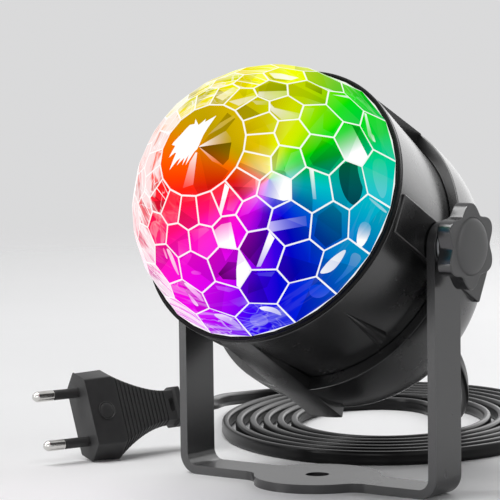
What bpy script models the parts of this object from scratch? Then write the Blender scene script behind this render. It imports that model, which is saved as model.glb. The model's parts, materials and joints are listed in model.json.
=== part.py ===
# Party light with a faceted dome that turns in a tilting lamp head.
# A U bracket holds the head between two clamp knobs, and the flat lead lies coiled behind it.
# The world is +Z up, with the dome facing -Y. In the head's own frame +Z is the dome's axis,
# +X is the tilt axis and the origin is where the two cross.
import math

import bmesh
import bpy
from mathutils import Matrix, Vector

mm = 0.001

# Clearances
part_gap = 0.3 * mm
slip_gap = 0.15 * mm
weld = 0.001 * mm
overrun = 6.0 * mm
bore_skew_deg = 4.0

# Dome: rings of flat cells on a sphere, with a shallow cone at the crown
dome_radius = 49.6 * mm
dome_centre = 26.2 * mm
dome_edge_height = dome_centre + 3.9 * mm
dome_wall = 2.2 * mm
dome_cells = 18
dome_tip_share = 0.985
crown_deg = 20.0
crown_thick = 3.3 * mm
zigzag_low_deg = (30.8, 41.0, 54.2, 67.0)
zigzag_high_deg = (33.0, 44.7, 59.3, 72.3)
skirt_radius = dome_radius - 2.0 * mm
dome_lip = 0.5 * mm
socket_radius = 3.8 * mm
socket_wall = 2.4 * mm
socket_depth = 4.5 * mm
socket_floor = dome_centre + dome_radius - crown_thick

# Bezel ring around the dome
bezel_inner = dome_radius + 0.35 * mm
bezel_width = 1.05 * mm
bezel_rise = 1.5 * mm
bezel_step = 0.7 * mm
bezel_lip_inner = skirt_radius + 0.5 * mm
bezel_lip_thick = 0.8 * mm
bezel_lip_depth = 2.0 * mm

# Front shell: a thin cone that the dome's rim sits in
rim_height = dome_edge_height - 1.9 * mm
rim_radius = bezel_inner + bezel_width
rim_wall = 1.8 * mm
cone_taper = 3.3 * mm
front_back_height = -10.0 * mm
front_back_radius = rim_radius - cone_taper
front_back_wall = 2.0 * mm
spigot_length = 4.0 * mm
shelf_height = 9.0 * mm
shelf_thick = 2.0 * mm
boss_radius = 3.5 * mm
boss_length = 7.0 * mm
boss_margin = 0.7 * mm
fixing_circle = front_back_radius - front_back_wall - boss_radius - boss_margin
shelf_bore_radius = fixing_circle - boss_radius - boss_margin
skirt_bottom = rim_height - 3.7 * mm

# Small wedge-shaped ribs on the cone
wedge_angle_deg = 43.6
wedge_span_deg = 3.4
wedge_front = rim_height - 5.2 * mm
wedge_back = front_back_height + 5.5 * mm
wedge_rise = 2.6 * mm
wedge_root = 1.0 * mm

# Screws
screw_head_radius = 2.75 * mm
screw_head_thick = 1.9 * mm
screw_shank_radius = 1.4 * mm
screw_head_top_share = 0.75
pilot_radius = screw_shank_radius + 0.2 * mm
housing_screw_length = 26.0 * mm
board_screw_length = 9.0 * mm
driver_screw_radius = 1.1 * mm
driver_screw_length = 7.0 * mm

# Rear shell: an oval bowl with flat rails and a broad raised panel
bowl_step = 3.5 * mm
bowl_radius = front_back_radius + bowl_step
bowl_depth = 49.0 * mm
bowl_front = front_back_height - 1.2 * mm
bowl_oval_share = 1.031
bowl_power = 2.7
bowl_wall = 2.3 * mm
bowl_half_height = bowl_radius * bowl_oval_share
mouth_depth = 3.2 * mm
rail_half_width = 7.0 * mm
side_rail_face = bowl_radius + 0.1 * mm
side_rail_front = rim_height - 1.7 * mm
side_rail_length = 22.8 * mm
side_rail_back = bowl_front - side_rail_length
panel_half_deg = 27.0
panel_slack_deg = 0.4
panel_front = rim_height - 1.2 * mm
panel_front_thick = 0.7 * mm
keel_length = 23.8 * mm
keel_back = bowl_front - keel_length
keel_step_face = bowl_half_height + 0.1 * mm
keel_back_face = bowl_half_height + 1.0 * mm
counterbore_radius = screw_head_radius + 0.55 * mm
counterbore_seat = bowl_front - 7.8 * mm
pillar_radius = counterbore_radius + 1.3 * mm

# Gland where the lead leaves the head, and the flat twin lead's section
cord_width = 5.4 * mm
cord_thick = 3.3 * mm
cord_edge = cord_width / 2 - 1.5 * mm
cord_half_flat = cord_thick / 2 - 0.9 * mm
gland_neck_radius = 4.0 * mm
gland_neck_length = 5.0 * mm
gland_flange_radius = 6.4 * mm
gland_flange_thick = 1.5 * mm
gland_tip = (cord_width / 2 + 0.9 * mm, cord_thick / 2 + 0.95 * mm)
gland_root = (gland_tip[0] + 1.4 * mm, gland_tip[1] + 1.6 * mm)
gland_length = 18.8 * mm
gland_ribs = 5
gland_rib_rise = 0.5 * mm

# Bracket: a bent steel strip with a round foot in its middle
swing_gap = 0.5 * mm
strip_width = 16.2 * mm
strip_thick = 3.2 * mm
bracket_width = 2 * (side_rail_face + swing_gap + strip_thick)
bend_radius = 4.1 * mm
foot_radius = 22.5 * mm
neck_fillet = 8.0 * mm
foot_hole_radius = 4.2 * mm
swing_clearance = 6.0 * mm
head_reach = bowl_depth - bowl_front + part_gap + gland_flange_thick + gland_length
pivot_height = max(head_reach, dome_centre + dome_radius) + swing_clearance

# Head at rest
rest_tilt_deg = 28.2

# Pivot hardware on each side
stud_radius = 2.5 * mm
pivot_hole_radius = stud_radius + 0.4 * mm
friction_radius = 5.9 * mm
friction_thick = 1.3 * mm
recess_radius = friction_radius + part_gap
recess_floor = side_rail_face + swing_gap - friction_thick - 2 * slip_gap
insert_bore = stud_radius + 0.25 * mm
insert_radius = insert_bore + 1.25 * mm
insert_length = 11.9 * mm
insert_outer = recess_floor - part_gap
insert_inner = insert_outer - insert_length
insert_boss_radius = insert_radius + 2.5 * mm
stud_inner = insert_inner + 2.0 * mm
plain_washer_radius = 7.2 * mm
plain_washer_thick = 1.0 * mm

# Clamp knob
knob_hub_radius = 8.0 * mm
knob_hub_length = 3.3 * mm
knob_lobes = 6
knob_tip_radius = 14.8 * mm
knob_valley_radius = 11.7 * mm
knob_thick = 5.3 * mm
knob_edge = 0.7 * mm
knob_cap_radius = 9.9 * mm
knob_cap_rise = 1.5 * mm
knob_bore_depth = 5.6 * mm

# Plates and lamps inside the head
plate_radius = fixing_circle + boss_radius
plate_thick = 2.0 * mm
plate_bottom = shelf_height + shelf_thick + part_gap
board_radius = plate_radius - 1.0 * mm
board_bottom = plate_bottom + plate_thick + part_gap
board_thick = 1.6 * mm
board_top = board_bottom + board_thick
led_circle = 22.0 * mm
led_base_radius = 6.5 * mm
led_base_thick = 1.3 * mm
led_lens_radius = led_base_radius - 1.5 * mm
led_lens_rise = 4.3 * mm
receiver_circle = board_radius - 10.0 * mm
receiver_width = 7.0 * mm
receiver_depth = 5.0 * mm
receiver_height = 8.0 * mm

# Drive inside the head
motor_radius = 13.0 * mm
motor_back = -8.5 * mm
motor_boss_radius = 5.0 * mm
motor_boss_rise = 1.5 * mm
motor_ear_reach = 6.0 * mm
motor_ear_width = 8.0 * mm
motor_ear_thick = 1.2 * mm
plate_bore = motor_boss_radius + 1.5 * mm
shaft_radius = 2.0 * mm
shaft_back = 1.0 * mm
hub_radius = 7.0 * mm
hub_back = board_top + 1.8 * mm
hub_length = 10.0 * mm
shaft_front = hub_back + hub_length - 3.0 * mm
stem_radius = socket_radius - part_gap
set_screw_radius = 1.5 * mm
set_screw_height = hub_back + 3.5 * mm

# Driver board and what stands on it
driver_margin = 3.9 * mm
driver_depth = 20.4 * mm
post_inset = 5.0 * mm
driver_radius = fixing_circle - pillar_radius - driver_margin
driver_height = bowl_front - driver_depth
post_circle = driver_radius - post_inset
post_radius = 3.5 * mm
post_pilot = driver_screw_radius + 0.15 * mm
post_pilot_depth = driver_screw_length
transformer_width = 18.0 * mm
transformer_height = 13.0 * mm
transformer_margin = 12.0 * mm
transformer_size = (transformer_width, post_circle - transformer_margin, transformer_height)
transformer_place = 8.0 * mm
capacitor_radius = 5.0 * mm
capacitor_length = 14.0 * mm
capacitor_place = (-14.0 * mm, 10.0 * mm)
microphone_radius = 4.8 * mm
microphone_length = 5.0 * mm
microphone_stand = 4.2 * mm
microphone_place = 14.0 * mm
microphone_hole = 1.0 * mm

# Coil of the lead, an oval spiral on the floor, and the routes from it to the plug and the gland
coil_centre = (-51.0 * mm, 122.0 * mm)
coil_axis_deg = 120.0
coil_outer = (97.0 * mm, 69.0 * mm)
coil_inner = (53.5 * mm, 36.4 * mm)
coil_start_deg = -25.0
coil_sweep_deg = 2140.0
points_per_loop = 24
lead_route = [Vector(place) * mm for place in
              ((-90.5, 52, 15.2), (-97.5, 68, 13), (-108.5, 85, 10.6), (-120, 102, 8),
               (-130, 120, 5.7), (-135, 139, 3.9), (-134, 156, 3.0))]
rise_route = [Vector(place) * mm for place in
              ((-89.3, 151.8, 2.7), (-81.5, 160.4, 2.7), (-70, 163.8, 2.7), (-58.5, 160.6, 2.7),
               (-49.5, 153.3, 2.7), (-41.3, 145.4, 2.75), (-33.7, 138, 3.2), (-26, 131.5, 5.3),
               (-18.6, 125, 9.6), (-12, 117.5, 15.8), (-6.8, 109, 23.2), (-3, 99.7, 31),
               (-0.8, 90, 38))]

# Plug
plug_place = (-103.4 * mm, -5.6 * mm)
plug_yaw_deg = 251.2
plug_lean_deg = 23.0
plug_half_width = 17.65 * mm
plug_flat_half_width = plug_half_width - 4.75 * mm
plug_half_thick = 6.85 * mm
plug_block_length = 13.2 * mm
plug_length = 42.0 * mm
plug_collar_length = 4.7 * mm
plug_neck_half_width = cord_width / 2 + 4.3 * mm
plug_neck_half_thick = cord_thick / 2 + 2.95 * mm
plug_collar_rise = 1.1 * mm
plug_ribs = 10
plug_rib_depth = 0.45 * mm
plug_rib_front = plug_block_length + 1.8 * mm
plug_rib_back = plug_length - plug_collar_length - 3.3 * mm
plug_dimple_radius = 3.5 * mm
plug_dimple_rise = 0.6 * mm
plug_dimple_place = plug_block_length - 6.2 * mm
plug_flat_share = 0.73
pin_spacing = 19.0 * mm
pin_length = 19.0 * mm
pin_radius = 2.0 * mm
pin_core_radius = pin_radius - 0.8 * mm
pin_root = 4.0 * mm
sleeve_radius = pin_radius - 0.1 * mm
sleeve_length = 10.0 * mm
pin_tip_length = 1.5 * mm

# Values worked out from those above
arm_inner_face = bracket_width / 2 - strip_thick
arm_outer_face = bracket_width / 2
bowl_back = bowl_front - bowl_depth
microphone_back = bowl_back + microphone_stand
gland_tip_height = bowl_back - part_gap - gland_flange_thick - gland_length
washer_face = arm_outer_face + slip_gap
knob_face = washer_face + plain_washer_thick + slip_gap
housing_angles = (30, 150, 270)
board_screw_angles = (90, 210, 330)
post_angles = (60, 180, 300)
tilt = math.radians(rest_tilt_deg)


def clear_scene():
    for item in list(bpy.data.objects):
        bpy.data.objects.remove(item)


def finish_material(name, colour, roughness, metallic=0.0, alpha=1.0):
    made = bpy.data.materials.new(name)
    made.use_nodes = True
    shader = made.node_tree.nodes["Principled BSDF"]
    shader.inputs["Base Color"].default_value = (*colour, 1.0)
    shader.inputs["Roughness"].default_value = roughness
    shader.inputs["Metallic"].default_value = metallic
    shader.inputs["Alpha"].default_value = alpha
    return made


def add_object(name, bm, material=None, parent=None, smooth_deg=32):
    bmesh.ops.remove_doubles(bm, verts=bm.verts, dist=weld)
    bmesh.ops.recalc_face_normals(bm, faces=bm.faces)
    mesh = bpy.data.meshes.new(name)
    bm.to_mesh(mesh)
    bm.free()
    if material:
        mesh.materials.append(material)
    mesh.shade_smooth()
    mesh.set_sharp_from_angle(angle=math.radians(smooth_deg))
    made = bpy.data.objects.new(name, mesh)
    bpy.context.collection.objects.link(made)
    made.parent = parent
    return made


def add_empty(name, parent=None, place=(0, 0, 0), turn=(0, 0, 0)):
    made = bpy.data.objects.new(name, None)
    bpy.context.collection.objects.link(made)
    made.parent = parent
    made.location = place
    made.rotation_euler = turn
    return made


def combine(target, tool_bm, operation="DIFFERENCE"):
    # The tool's solid is cut from, or joined to, the target's mesh
    tool = add_object("tool", tool_bm)
    tool.hide_render = True
    tool.display_type = "WIRE"
    modifier = target.modifiers.new(operation, "BOOLEAN")
    modifier.operation = operation
    modifier.solver = "EXACT"
    modifier.object = tool
    graph = bpy.context.evaluated_depsgraph_get()
    joined = bpy.data.meshes.new_from_object(target.evaluated_get(graph))
    bm = bmesh.new()
    bm.from_mesh(joined)
    bmesh.ops.remove_doubles(bm, verts=bm.verts, dist=weld)
    bmesh.ops.dissolve_degenerate(bm, edges=bm.edges, dist=weld)
    bm.to_mesh(joined)
    bm.free()
    target.modifiers.clear()
    old_mesh = target.data
    joined.name = target.name
    target.data = joined
    bpy.data.meshes.remove(old_mesh)
    bpy.data.objects.remove(tool)


def bridge(bm, first, second):
    # Joins two rings of equal count, where a ring of one vertex is a pole
    count = max(len(first), len(second))
    for i in range(count):
        j = (i + 1) % count
        quad = [first[i % len(first)], first[j % len(first)],
                second[j % len(second)], second[i % len(second)]]
        corners = list(dict.fromkeys(quad))
        if len(corners) > 2:
            bm.faces.new(corners)


def loft(rings, closed=False):
    # Rings are lists of points; the ends are capped unless the rings close on themselves
    bm = bmesh.new()
    made = [[bm.verts.new(point) for point in ring] for ring in rings]
    for first, second in zip(made, made[1:]):
        bridge(bm, first, second)
    if closed:
        bridge(bm, made[-1], made[0])
    else:
        for ring in (made[0], made[-1]):
            if len(ring) > 2:
                bm.faces.new(ring)
    return bm


def circle(radius, height, steps, oval=1.0):
    if radius < weld:
        return [Vector((0, 0, height))]
    angles = [2 * math.pi * i / steps for i in range(steps)]
    return [Vector((radius * math.cos(a), radius * oval * math.sin(a), height)) for a in angles]


def turned(profile, steps=32, oval=1.0):
    rings = [circle(radius, height, steps, oval) for radius, height in profile]
    poles = len(rings[0]) == 1 and len(rings[-1]) == 1
    return loft(rings, closed=not poles)


def rod(radius, low, high, steps=16):
    return turned([(0, low), (radius, low), (radius, high), (0, high)], steps)


def tube(outer, inner, low, high, steps=20):
    return turned([(inner, low), (outer, low), (outer, high), (inner, high)], steps)


def block(low, high):
    corners = [(low[0], low[1]), (high[0], low[1]), (high[0], high[1]), (low[0], high[1])]
    return loft([[Vector((x, y, z)) for x, y in corners] for z in (low[2], high[2])])


def moved(bm, matrix):
    bmesh.ops.transform(bm, matrix=matrix, verts=bm.verts)
    return bm


def around_axis(bm, angle_deg, radius=0.0):
    turn = Matrix.Rotation(math.radians(angle_deg), 4, "Z")
    return moved(bm, turn @ Matrix.Translation((radius, 0, 0)))


def bore(radius, low, high, steps=14):
    # A round cutter, turned a little so that its corners keep off those of the part's own
    return around_axis(rod(radius, low, high, steps), bore_skew_deg)


def along_x(bm, side):
    # Lays a piece made along +Z on the tilt axis, pointing out to the given side
    return moved(bm, Matrix.Rotation(side * math.pi / 2, 4, "Y"))


def cone_radius(height):
    share = (height - front_back_height) / (rim_height - front_back_height)
    return front_back_radius + share * (rim_radius - front_back_radius)


def bowl_profile(inset, steps):
    # From the widest edge back to the pole, on a squarish ellipse
    radius = bowl_radius - inset
    depth = bowl_depth - inset
    points = []
    for i in range(steps + 1):
        angle = math.pi / 2 * i / steps
        across = math.cos(angle) ** (2 / bowl_power) if i < steps else 0
        back = math.sin(angle) ** (2 / bowl_power)
        points.append((radius * across, bowl_front - depth * back))
    return points


def flat_rail(stations, half_width, angle_deg):
    # Stations are (height, inner face, outer face) along the head's axis
    rings = [[Vector((inner, -half_width, z)), Vector((outer, -half_width, z)),
              Vector((outer, half_width, z)), Vector((inner, half_width, z))]
             for z, inner, outer in stations]
    return around_axis(loft(rings), angle_deg)


def arc_panel(stations, half_deg, angle_deg, steps=12):
    # Like a rail, but it follows the round of the head
    rings = []
    for z, inner, outer in stations:
        angles = [math.radians(half_deg * (2 * i / steps - 1)) for i in range(steps + 1)]
        ring = [Vector((outer * math.cos(a), outer * math.sin(a), z)) for a in angles]
        ring += [Vector((inner * math.cos(a), inner * math.sin(a), z)) for a in reversed(angles)]
        rings.append(ring)
    return around_axis(loft(rings), angle_deg)


def strip_half_width(x):
    # Half the foot plate's width at a distance from the middle: disc, fillet, then strip
    half = strip_width / 2
    reach = foot_radius + neck_fillet
    fillet_x = math.sqrt(reach ** 2 - (half + neck_fillet) ** 2)
    tangent_x = fillet_x * foot_radius / reach
    if abs(x) <= tangent_x:
        return math.sqrt(foot_radius ** 2 - x ** 2)
    if abs(x) < fillet_x:
        return half + neck_fillet - math.sqrt(neck_fillet ** 2 - (fillet_x - abs(x)) ** 2)
    return half


def bracket_stations():
    # Half of the strip's path, from the middle of the foot to the tip of the right arm.
    # Each is (place on the outer face, direction to the inner face, half width).
    outer_bend = bend_radius + strip_thick
    bend_x = bracket_width / 2 - outer_bend
    half = strip_width / 2
    reach = foot_radius + neck_fillet
    fillet_x = math.sqrt(reach ** 2 - (half + neck_fillet) ** 2)
    tangent_x = fillet_x * foot_radius / reach
    foot_steps = 8
    fillet_steps = 4
    bend_steps = 6
    tip_steps = 6
    foot_places = [foot_radius * math.sin(math.asin(tangent_x / foot_radius) * i / foot_steps)
                   for i in range(foot_steps + 1)]
    foot_places += [tangent_x + (fillet_x - tangent_x) * (i + 1) / fillet_steps
                    for i in range(fillet_steps)]
    stations = [((x, 0), (0, 1), strip_half_width(x)) for x in foot_places]
    for i in range(bend_steps + 1):
        angle = math.pi / 2 * i / bend_steps
        place = (bend_x + outer_bend * math.sin(angle), outer_bend * (1 - math.cos(angle)))
        stations.append((place, (-math.sin(angle), math.cos(angle)), half))
    for i in range(tip_steps + 1):
        angle = math.pi / 2 * i / tip_steps
        width = half * math.cos(angle) if i < tip_steps else 0
        place = (bracket_width / 2, pivot_height + half * math.sin(angle))
        stations.append((place, (-1, 0), width))
    return stations


def make_bracket(parent, paint):
    half = bracket_stations()
    mirrored = [((-x, z), (-nx, nz), width) for (x, z), (nx, nz), width in reversed(half[1:])]
    rings = []
    for (x, z), (nx, nz), width in mirrored + half:
        outer = (x, z)
        inner = (x + nx * strip_thick, z + nz * strip_thick)
        rings.append([Vector((outer[0], -width, outer[1])), Vector((outer[0], width, outer[1])),
                      Vector((inner[0], width, inner[1])), Vector((inner[0], -width, inner[1]))])
    bm = loft(rings)
    bracket = add_object("u_bracket", bm, paint)
    combine(bracket, bore(foot_hole_radius, -overrun, strip_thick + overrun, 30))
    reach = bracket_width / 2 + overrun
    pivot_bore = along_x(bore(pivot_hole_radius, -reach, reach), 1)
    combine(bracket, moved(pivot_bore, Matrix.Translation((0, 0, pivot_height))))
    bracket.parent = parent


def make_front_shell(parent, plastic):
    inner_rim = rim_radius - rim_wall
    inner_back = front_back_radius - front_back_wall
    slope = (inner_rim - inner_back) / (rim_height - front_back_height)
    shelf_top = shelf_height + shelf_thick
    low_wall = inner_back + slope * (shelf_height - front_back_height)
    high_wall = inner_back + slope * (shelf_top - front_back_height)
    spigot_end = front_back_height - spigot_length
    profile = [(rim_radius, rim_height), (front_back_radius, front_back_height),
               (front_back_radius, spigot_end), (inner_back, spigot_end),
               (inner_back, front_back_height), (low_wall, shelf_height),
               (shelf_bore_radius, shelf_height), (shelf_bore_radius, shelf_top),
               (high_wall, shelf_top), (inner_rim, rim_height)]
    shell = add_object("front_shell", turned(profile, 48), plastic)
    in_wall = front_back_wall / 2
    for side_deg in (0, 180):
        stations = [(front_back_height, front_back_radius - in_wall, side_rail_face),
                    (side_rail_front, cone_radius(side_rail_front) - in_wall, side_rail_face)]
        combine(shell, flat_rail(stations, rail_half_width, side_deg), "UNION")
    for side in (1, -1):
        boss = rod(insert_boss_radius, insert_inner - part_gap, recess_floor - in_wall, 24)
        combine(shell, along_x(boss, side), "UNION")
    for angle_deg in housing_angles:
        low = spigot_end + part_gap
        combine(shell, around_axis(rod(boss_radius, low, shelf_height + in_wall), angle_deg,
                                   fixing_circle), "UNION")
    for angle_deg in board_screw_angles:
        low = shelf_height - boss_length
        combine(shell, around_axis(rod(boss_radius, low, shelf_height + in_wall), angle_deg,
                                   fixing_circle), "UNION")
    for angle_deg in (-wedge_angle_deg, wedge_angle_deg - 180):
        combine(shell, wedge_rib(angle_deg), "UNION")
    for side in (1, -1):
        stepped = [(0, insert_inner - overrun), (insert_radius + slip_gap, insert_inner - overrun),
                   (insert_radius + slip_gap, recess_floor), (recess_radius, recess_floor),
                   (recess_radius, side_rail_face + overrun), (0, side_rail_face + overrun)]
        combine(shell, along_x(around_axis(turned(stepped, 26), bore_skew_deg), side))
    for angle_deg in housing_angles:
        pilot_end = counterbore_seat + housing_screw_length + part_gap
        pilot = bore(pilot_radius, spigot_end - overrun, pilot_end)
        combine(shell, around_axis(pilot, angle_deg, fixing_circle))
    for angle_deg in board_screw_angles:
        low = board_top + part_gap - board_screw_length - part_gap
        pilot = bore(pilot_radius, low, shelf_top + overrun)
        combine(shell, around_axis(pilot, angle_deg, fixing_circle))
    # Shallow beds that the rear shell's raised panel and keel lie in
    deep = panel_front_thick + part_gap
    bed = [(front_back_height - spigot_length - overrun, front_back_radius - slip_gap,
            rim_radius + overrun),
           (front_back_height, front_back_radius - slip_gap, rim_radius + overrun),
           (panel_front + part_gap, cone_radius(panel_front) - deep, rim_radius + overrun)]
    combine(shell, arc_panel(bed, panel_half_deg + panel_slack_deg, 90))
    combine(shell, flat_rail(bed, rail_half_width + part_gap, 270))
    shell.parent = parent


def wedge_rib(angle_deg):
    # Starts as a point at the front and grows in width and height towards the back
    half = math.radians(wedge_span_deg)

    def corner(radius, angle, height):
        return Vector((radius * math.cos(angle), radius * math.sin(angle), height))

    front = cone_radius(wedge_front)
    back = cone_radius(wedge_back)
    bm = bmesh.new()
    tip = [bm.verts.new(corner(front - wedge_root, 0, wedge_front)),
           bm.verts.new(corner(front, 0, wedge_front))]
    tail = [bm.verts.new(corner(back - wedge_root, -half, wedge_back)),
            bm.verts.new(corner(back + wedge_rise, -half, wedge_back)),
            bm.verts.new(corner(back + wedge_rise, half, wedge_back)),
            bm.verts.new(corner(back - wedge_root, half, wedge_back))]
    bm.faces.new(tail)
    bm.faces.new([tip[1], tail[2], tail[1]])
    bm.faces.new([tip[0], tail[0], tail[3]])
    bm.faces.new([tip[0], tip[1], tail[1], tail[0]])
    bm.faces.new([tip[1], tip[0], tail[3], tail[2]])
    return around_axis(bm, angle_deg)


def make_rear_shell(parent, plastic):
    outer = [(0, bowl_front)] + bowl_profile(0, 9)
    shell = add_object("rear_shell", turned(outer, 48, bowl_oval_share), plastic)
    sunk = bowl_wall / 2
    buried = bowl_front - mouth_depth
    panel_face = bowl_half_height
    panel = [(buried, panel_face - 2 * sunk, panel_face - sunk),
             (bowl_front, front_back_radius + part_gap, panel_face),
             (panel_front, cone_radius(panel_front) - panel_front_thick, cone_radius(panel_front))]
    combine(shell, arc_panel(panel, panel_half_deg, 90), "UNION")
    keel = [(keel_back, bowl_radius - 4 * bowl_wall, keel_back_face),
            (buried, bowl_radius - bowl_wall, keel_step_face),
            (bowl_front, front_back_radius + part_gap, keel_step_face),
            (panel_front, cone_radius(panel_front) - panel_front_thick, cone_radius(panel_front))]
    combine(shell, flat_rail(keel, rail_half_width, 270), "UNION")
    rail = [(side_rail_back, bowl_radius - 4 * bowl_wall, side_rail_face),
            (bowl_front, bowl_radius - bowl_wall, side_rail_face)]
    for side_deg in (0, 180):
        combine(shell, flat_rail(rail, rail_half_width, side_deg), "UNION")
    # The hollow leaves the screw pillars and the board's posts standing
    mouth_radius = front_back_radius + part_gap
    inner = bowl_profile(bowl_wall, 5)
    hollow_profile = [(0, bowl_front + overrun), (mouth_radius, bowl_front + overrun),
                      (mouth_radius, buried)] + inner_from(inner, buried)
    hollow = turned(hollow_profile, 30)
    hollow_piece = add_object("hollow", hollow)
    pillar_top = front_back_height - spigot_length
    for angle_deg in housing_angles:
        pillar = rod(pillar_radius, bowl_back, pillar_top, 16)
        combine(hollow_piece, around_axis(pillar, angle_deg, fixing_circle))
    for angle_deg in post_angles:
        post = rod(post_radius, bowl_back, driver_height - part_gap, 14)
        combine(hollow_piece, around_axis(post, angle_deg, post_circle))
    hollow_bm = bmesh.new()
    hollow_bm.from_mesh(hollow_piece.data)
    bpy.data.objects.remove(hollow_piece)
    combine(shell, hollow_bm)
    shank_radius = pilot_radius + slip_gap
    stepped = [(0, bowl_back - overrun), (counterbore_radius, bowl_back - overrun),
               (counterbore_radius, counterbore_seat), (shank_radius, counterbore_seat),
               (shank_radius, pillar_top + overrun), (0, pillar_top + overrun)]
    for angle_deg in housing_angles:
        cutter = around_axis(turned(stepped, 18), bore_skew_deg)
        combine(shell, around_axis(cutter, angle_deg, fixing_circle))
    for angle_deg in post_angles:
        pilot = bore(post_pilot, driver_height - post_pilot_depth, driver_height + overrun, 16)
        combine(shell, around_axis(pilot, angle_deg, post_circle))
    combine(shell, bore(gland_neck_radius + part_gap, bowl_back - overrun,
                        bowl_back + gland_neck_length))
    hole = bore(microphone_hole, bowl_back - overrun, bowl_back + 2 * overrun, 12)
    combine(shell, moved(hole, Matrix.Translation((0, microphone_place, 0))))
    shell.parent = parent


def inner_from(profile, height):
    # The bowl's inner profile from a given height back to the pole
    return [(profile[0][0], height)] + [(radius, z) for radius, z in profile if z < height - part_gap]


def make_bezel(parent, plastic):
    low = rim_height + part_gap
    profile = [(bezel_lip_inner, low - bezel_lip_depth),
               (bezel_lip_inner + bezel_lip_thick, low - bezel_lip_depth),
               (bezel_lip_inner + bezel_lip_thick, low), (rim_radius, low),
               (rim_radius, low + bezel_rise), (bezel_inner, low + bezel_rise),
               (bezel_inner, low + bezel_step), (bezel_lip_inner, low + bezel_step)]
    add_object("bezel_ring", turned(profile, 48), plastic, parent)


def dome_point(polar_deg, azimuth_deg, radius=dome_radius):
    polar = math.radians(polar_deg)
    azimuth = math.radians(azimuth_deg)
    return Vector((radius * math.sin(polar) * math.cos(azimuth),
                   radius * math.sin(polar) * math.sin(azimuth),
                   dome_centre + radius * math.cos(polar)))


def make_dome(parent, clear):
    # Each ring of cells lies half a cell round from the one before it
    step = 360 / dome_cells
    bm = bmesh.new()
    tip = bm.verts.new((0, 0, dome_centre + dome_radius * dome_tip_share))
    crown = [bm.verts.new(dome_point(crown_deg, step * i)) for i in range(dome_cells)]
    for i in range(dome_cells):
        bm.faces.new([tip, crown[i], crown[(i + 1) % dome_cells]])
    above = [[vertex] for vertex in crown]
    shift = 0.0
    for low_deg, high_deg in zip(zigzag_low_deg, zigzag_high_deg):
        low = [bm.verts.new(dome_point(low_deg, step * (i + shift))) for i in range(dome_cells)]
        high = [bm.verts.new(dome_point(high_deg, step * (i + shift + 0.5)))
                for i in range(dome_cells)]
        for i in range(dome_cells):
            j = (i + 1) % dome_cells
            upper = [above[j][0]] + above[i][1:]
            bm.faces.new([above[i][0], low[i], high[i], low[j]] + upper)
        # The next ring's cells hang between neighbouring high points, below each low point
        above = [[high[i], low[(i + 1) % dome_cells]] for i in range(dome_cells)]
        shift += 0.5
    edge_deg = math.degrees(math.acos((dome_edge_height - dome_centre) / dome_radius))
    rim = [bm.verts.new(dome_point(edge_deg, step * (i / 2 + shift)))
           for i in range(2 * dome_cells)]
    for i in range(dome_cells):
        j = (i + 1) % dome_cells
        last = rim[(2 * i + 2) % len(rim)]
        upper = [above[j][0]] + above[i][1:]
        bm.faces.new([above[i][0], rim[2 * i], rim[2 * i + 1], last] + upper)
    # Lip, skirt, inside and the socket for the stem
    inner_radius = dome_radius - dome_wall
    skirt_inner = skirt_radius - dome_wall
    inner_steps = 5
    start = math.asin(skirt_inner / inner_radius)
    boss_radius_inside = socket_radius + socket_wall
    stop = math.asin(boss_radius_inside / inner_radius)
    profile = [(skirt_radius, dome_edge_height - dome_lip), (skirt_radius, skirt_bottom),
               (skirt_inner, skirt_bottom)]
    for i in range(inner_steps + 1):
        polar = start + (stop - start) * i / inner_steps
        profile.append((inner_radius * math.sin(polar),
                        dome_centre + inner_radius * math.cos(polar)))
    mouth = socket_floor - socket_depth
    profile += [(boss_radius_inside, mouth), (socket_radius, mouth),
                (socket_radius, socket_floor), (0, socket_floor)]
    turn = Matrix.Rotation(math.radians(step * shift), 4, "Z")
    previous = rim
    for radius, height in profile:
        points = circle(radius, height, len(rim))
        ring = [bm.verts.new(turn @ point) for point in points]
        bridge(bm, previous, ring)
        previous = ring
    add_object("crystal_dome", bm, clear, parent, smooth_deg=3)


def make_drive(head, spin, steel, motor_metal, clear):
    ear_top = plate_bottom - part_gap
    profile = [(0, motor_back), (motor_radius, motor_back), (motor_radius, ear_top),
               (motor_boss_radius, ear_top), (motor_boss_radius, ear_top + motor_boss_rise),
               (shaft_radius + slip_gap, ear_top + motor_boss_rise),
               (shaft_radius + slip_gap, shaft_back - part_gap), (0, shaft_back - part_gap)]
    motor = add_object("gear_motor", turned(profile, 32), motor_metal)
    for side in (1, -1):
        near = motor_radius / 2
        low = (near, -motor_ear_width / 2, ear_top - motor_ear_thick)
        high = (motor_radius + motor_ear_reach, motor_ear_width / 2, ear_top - slip_gap)
        ear = block(low, high)
        if side < 0:
            ear = around_axis(ear, 180)
        combine(motor, ear, "UNION")
    motor.parent = head
    add_object("motor_shaft", rod(shaft_radius, shaft_back, shaft_front), steel, spin)
    fit = shaft_radius + slip_gap
    hub_top = hub_back + hub_length
    stem_profile = [(0, shaft_front + part_gap), (fit, shaft_front + part_gap), (fit, hub_back),
                    (hub_radius, hub_back), (hub_radius, hub_top), (stem_radius, hub_top),
                    (stem_radius, socket_floor - part_gap), (0, socket_floor - part_gap)]
    stem = add_object("dome_stem", turned(stem_profile, 20), clear)
    cross_bore = along_x(bore(set_screw_radius + slip_gap, 0, hub_radius + overrun, 16), 1)
    combine(stem, moved(cross_bore, Matrix.Translation((0, 0, set_screw_height))))
    stem.parent = spin
    grub = along_x(rod(set_screw_radius, fit, hub_radius, 16), 1)
    grub = moved(grub, Matrix.Translation((0, 0, set_screw_height)))
    add_object("hub_set_screw", grub, steel, spin)


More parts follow.
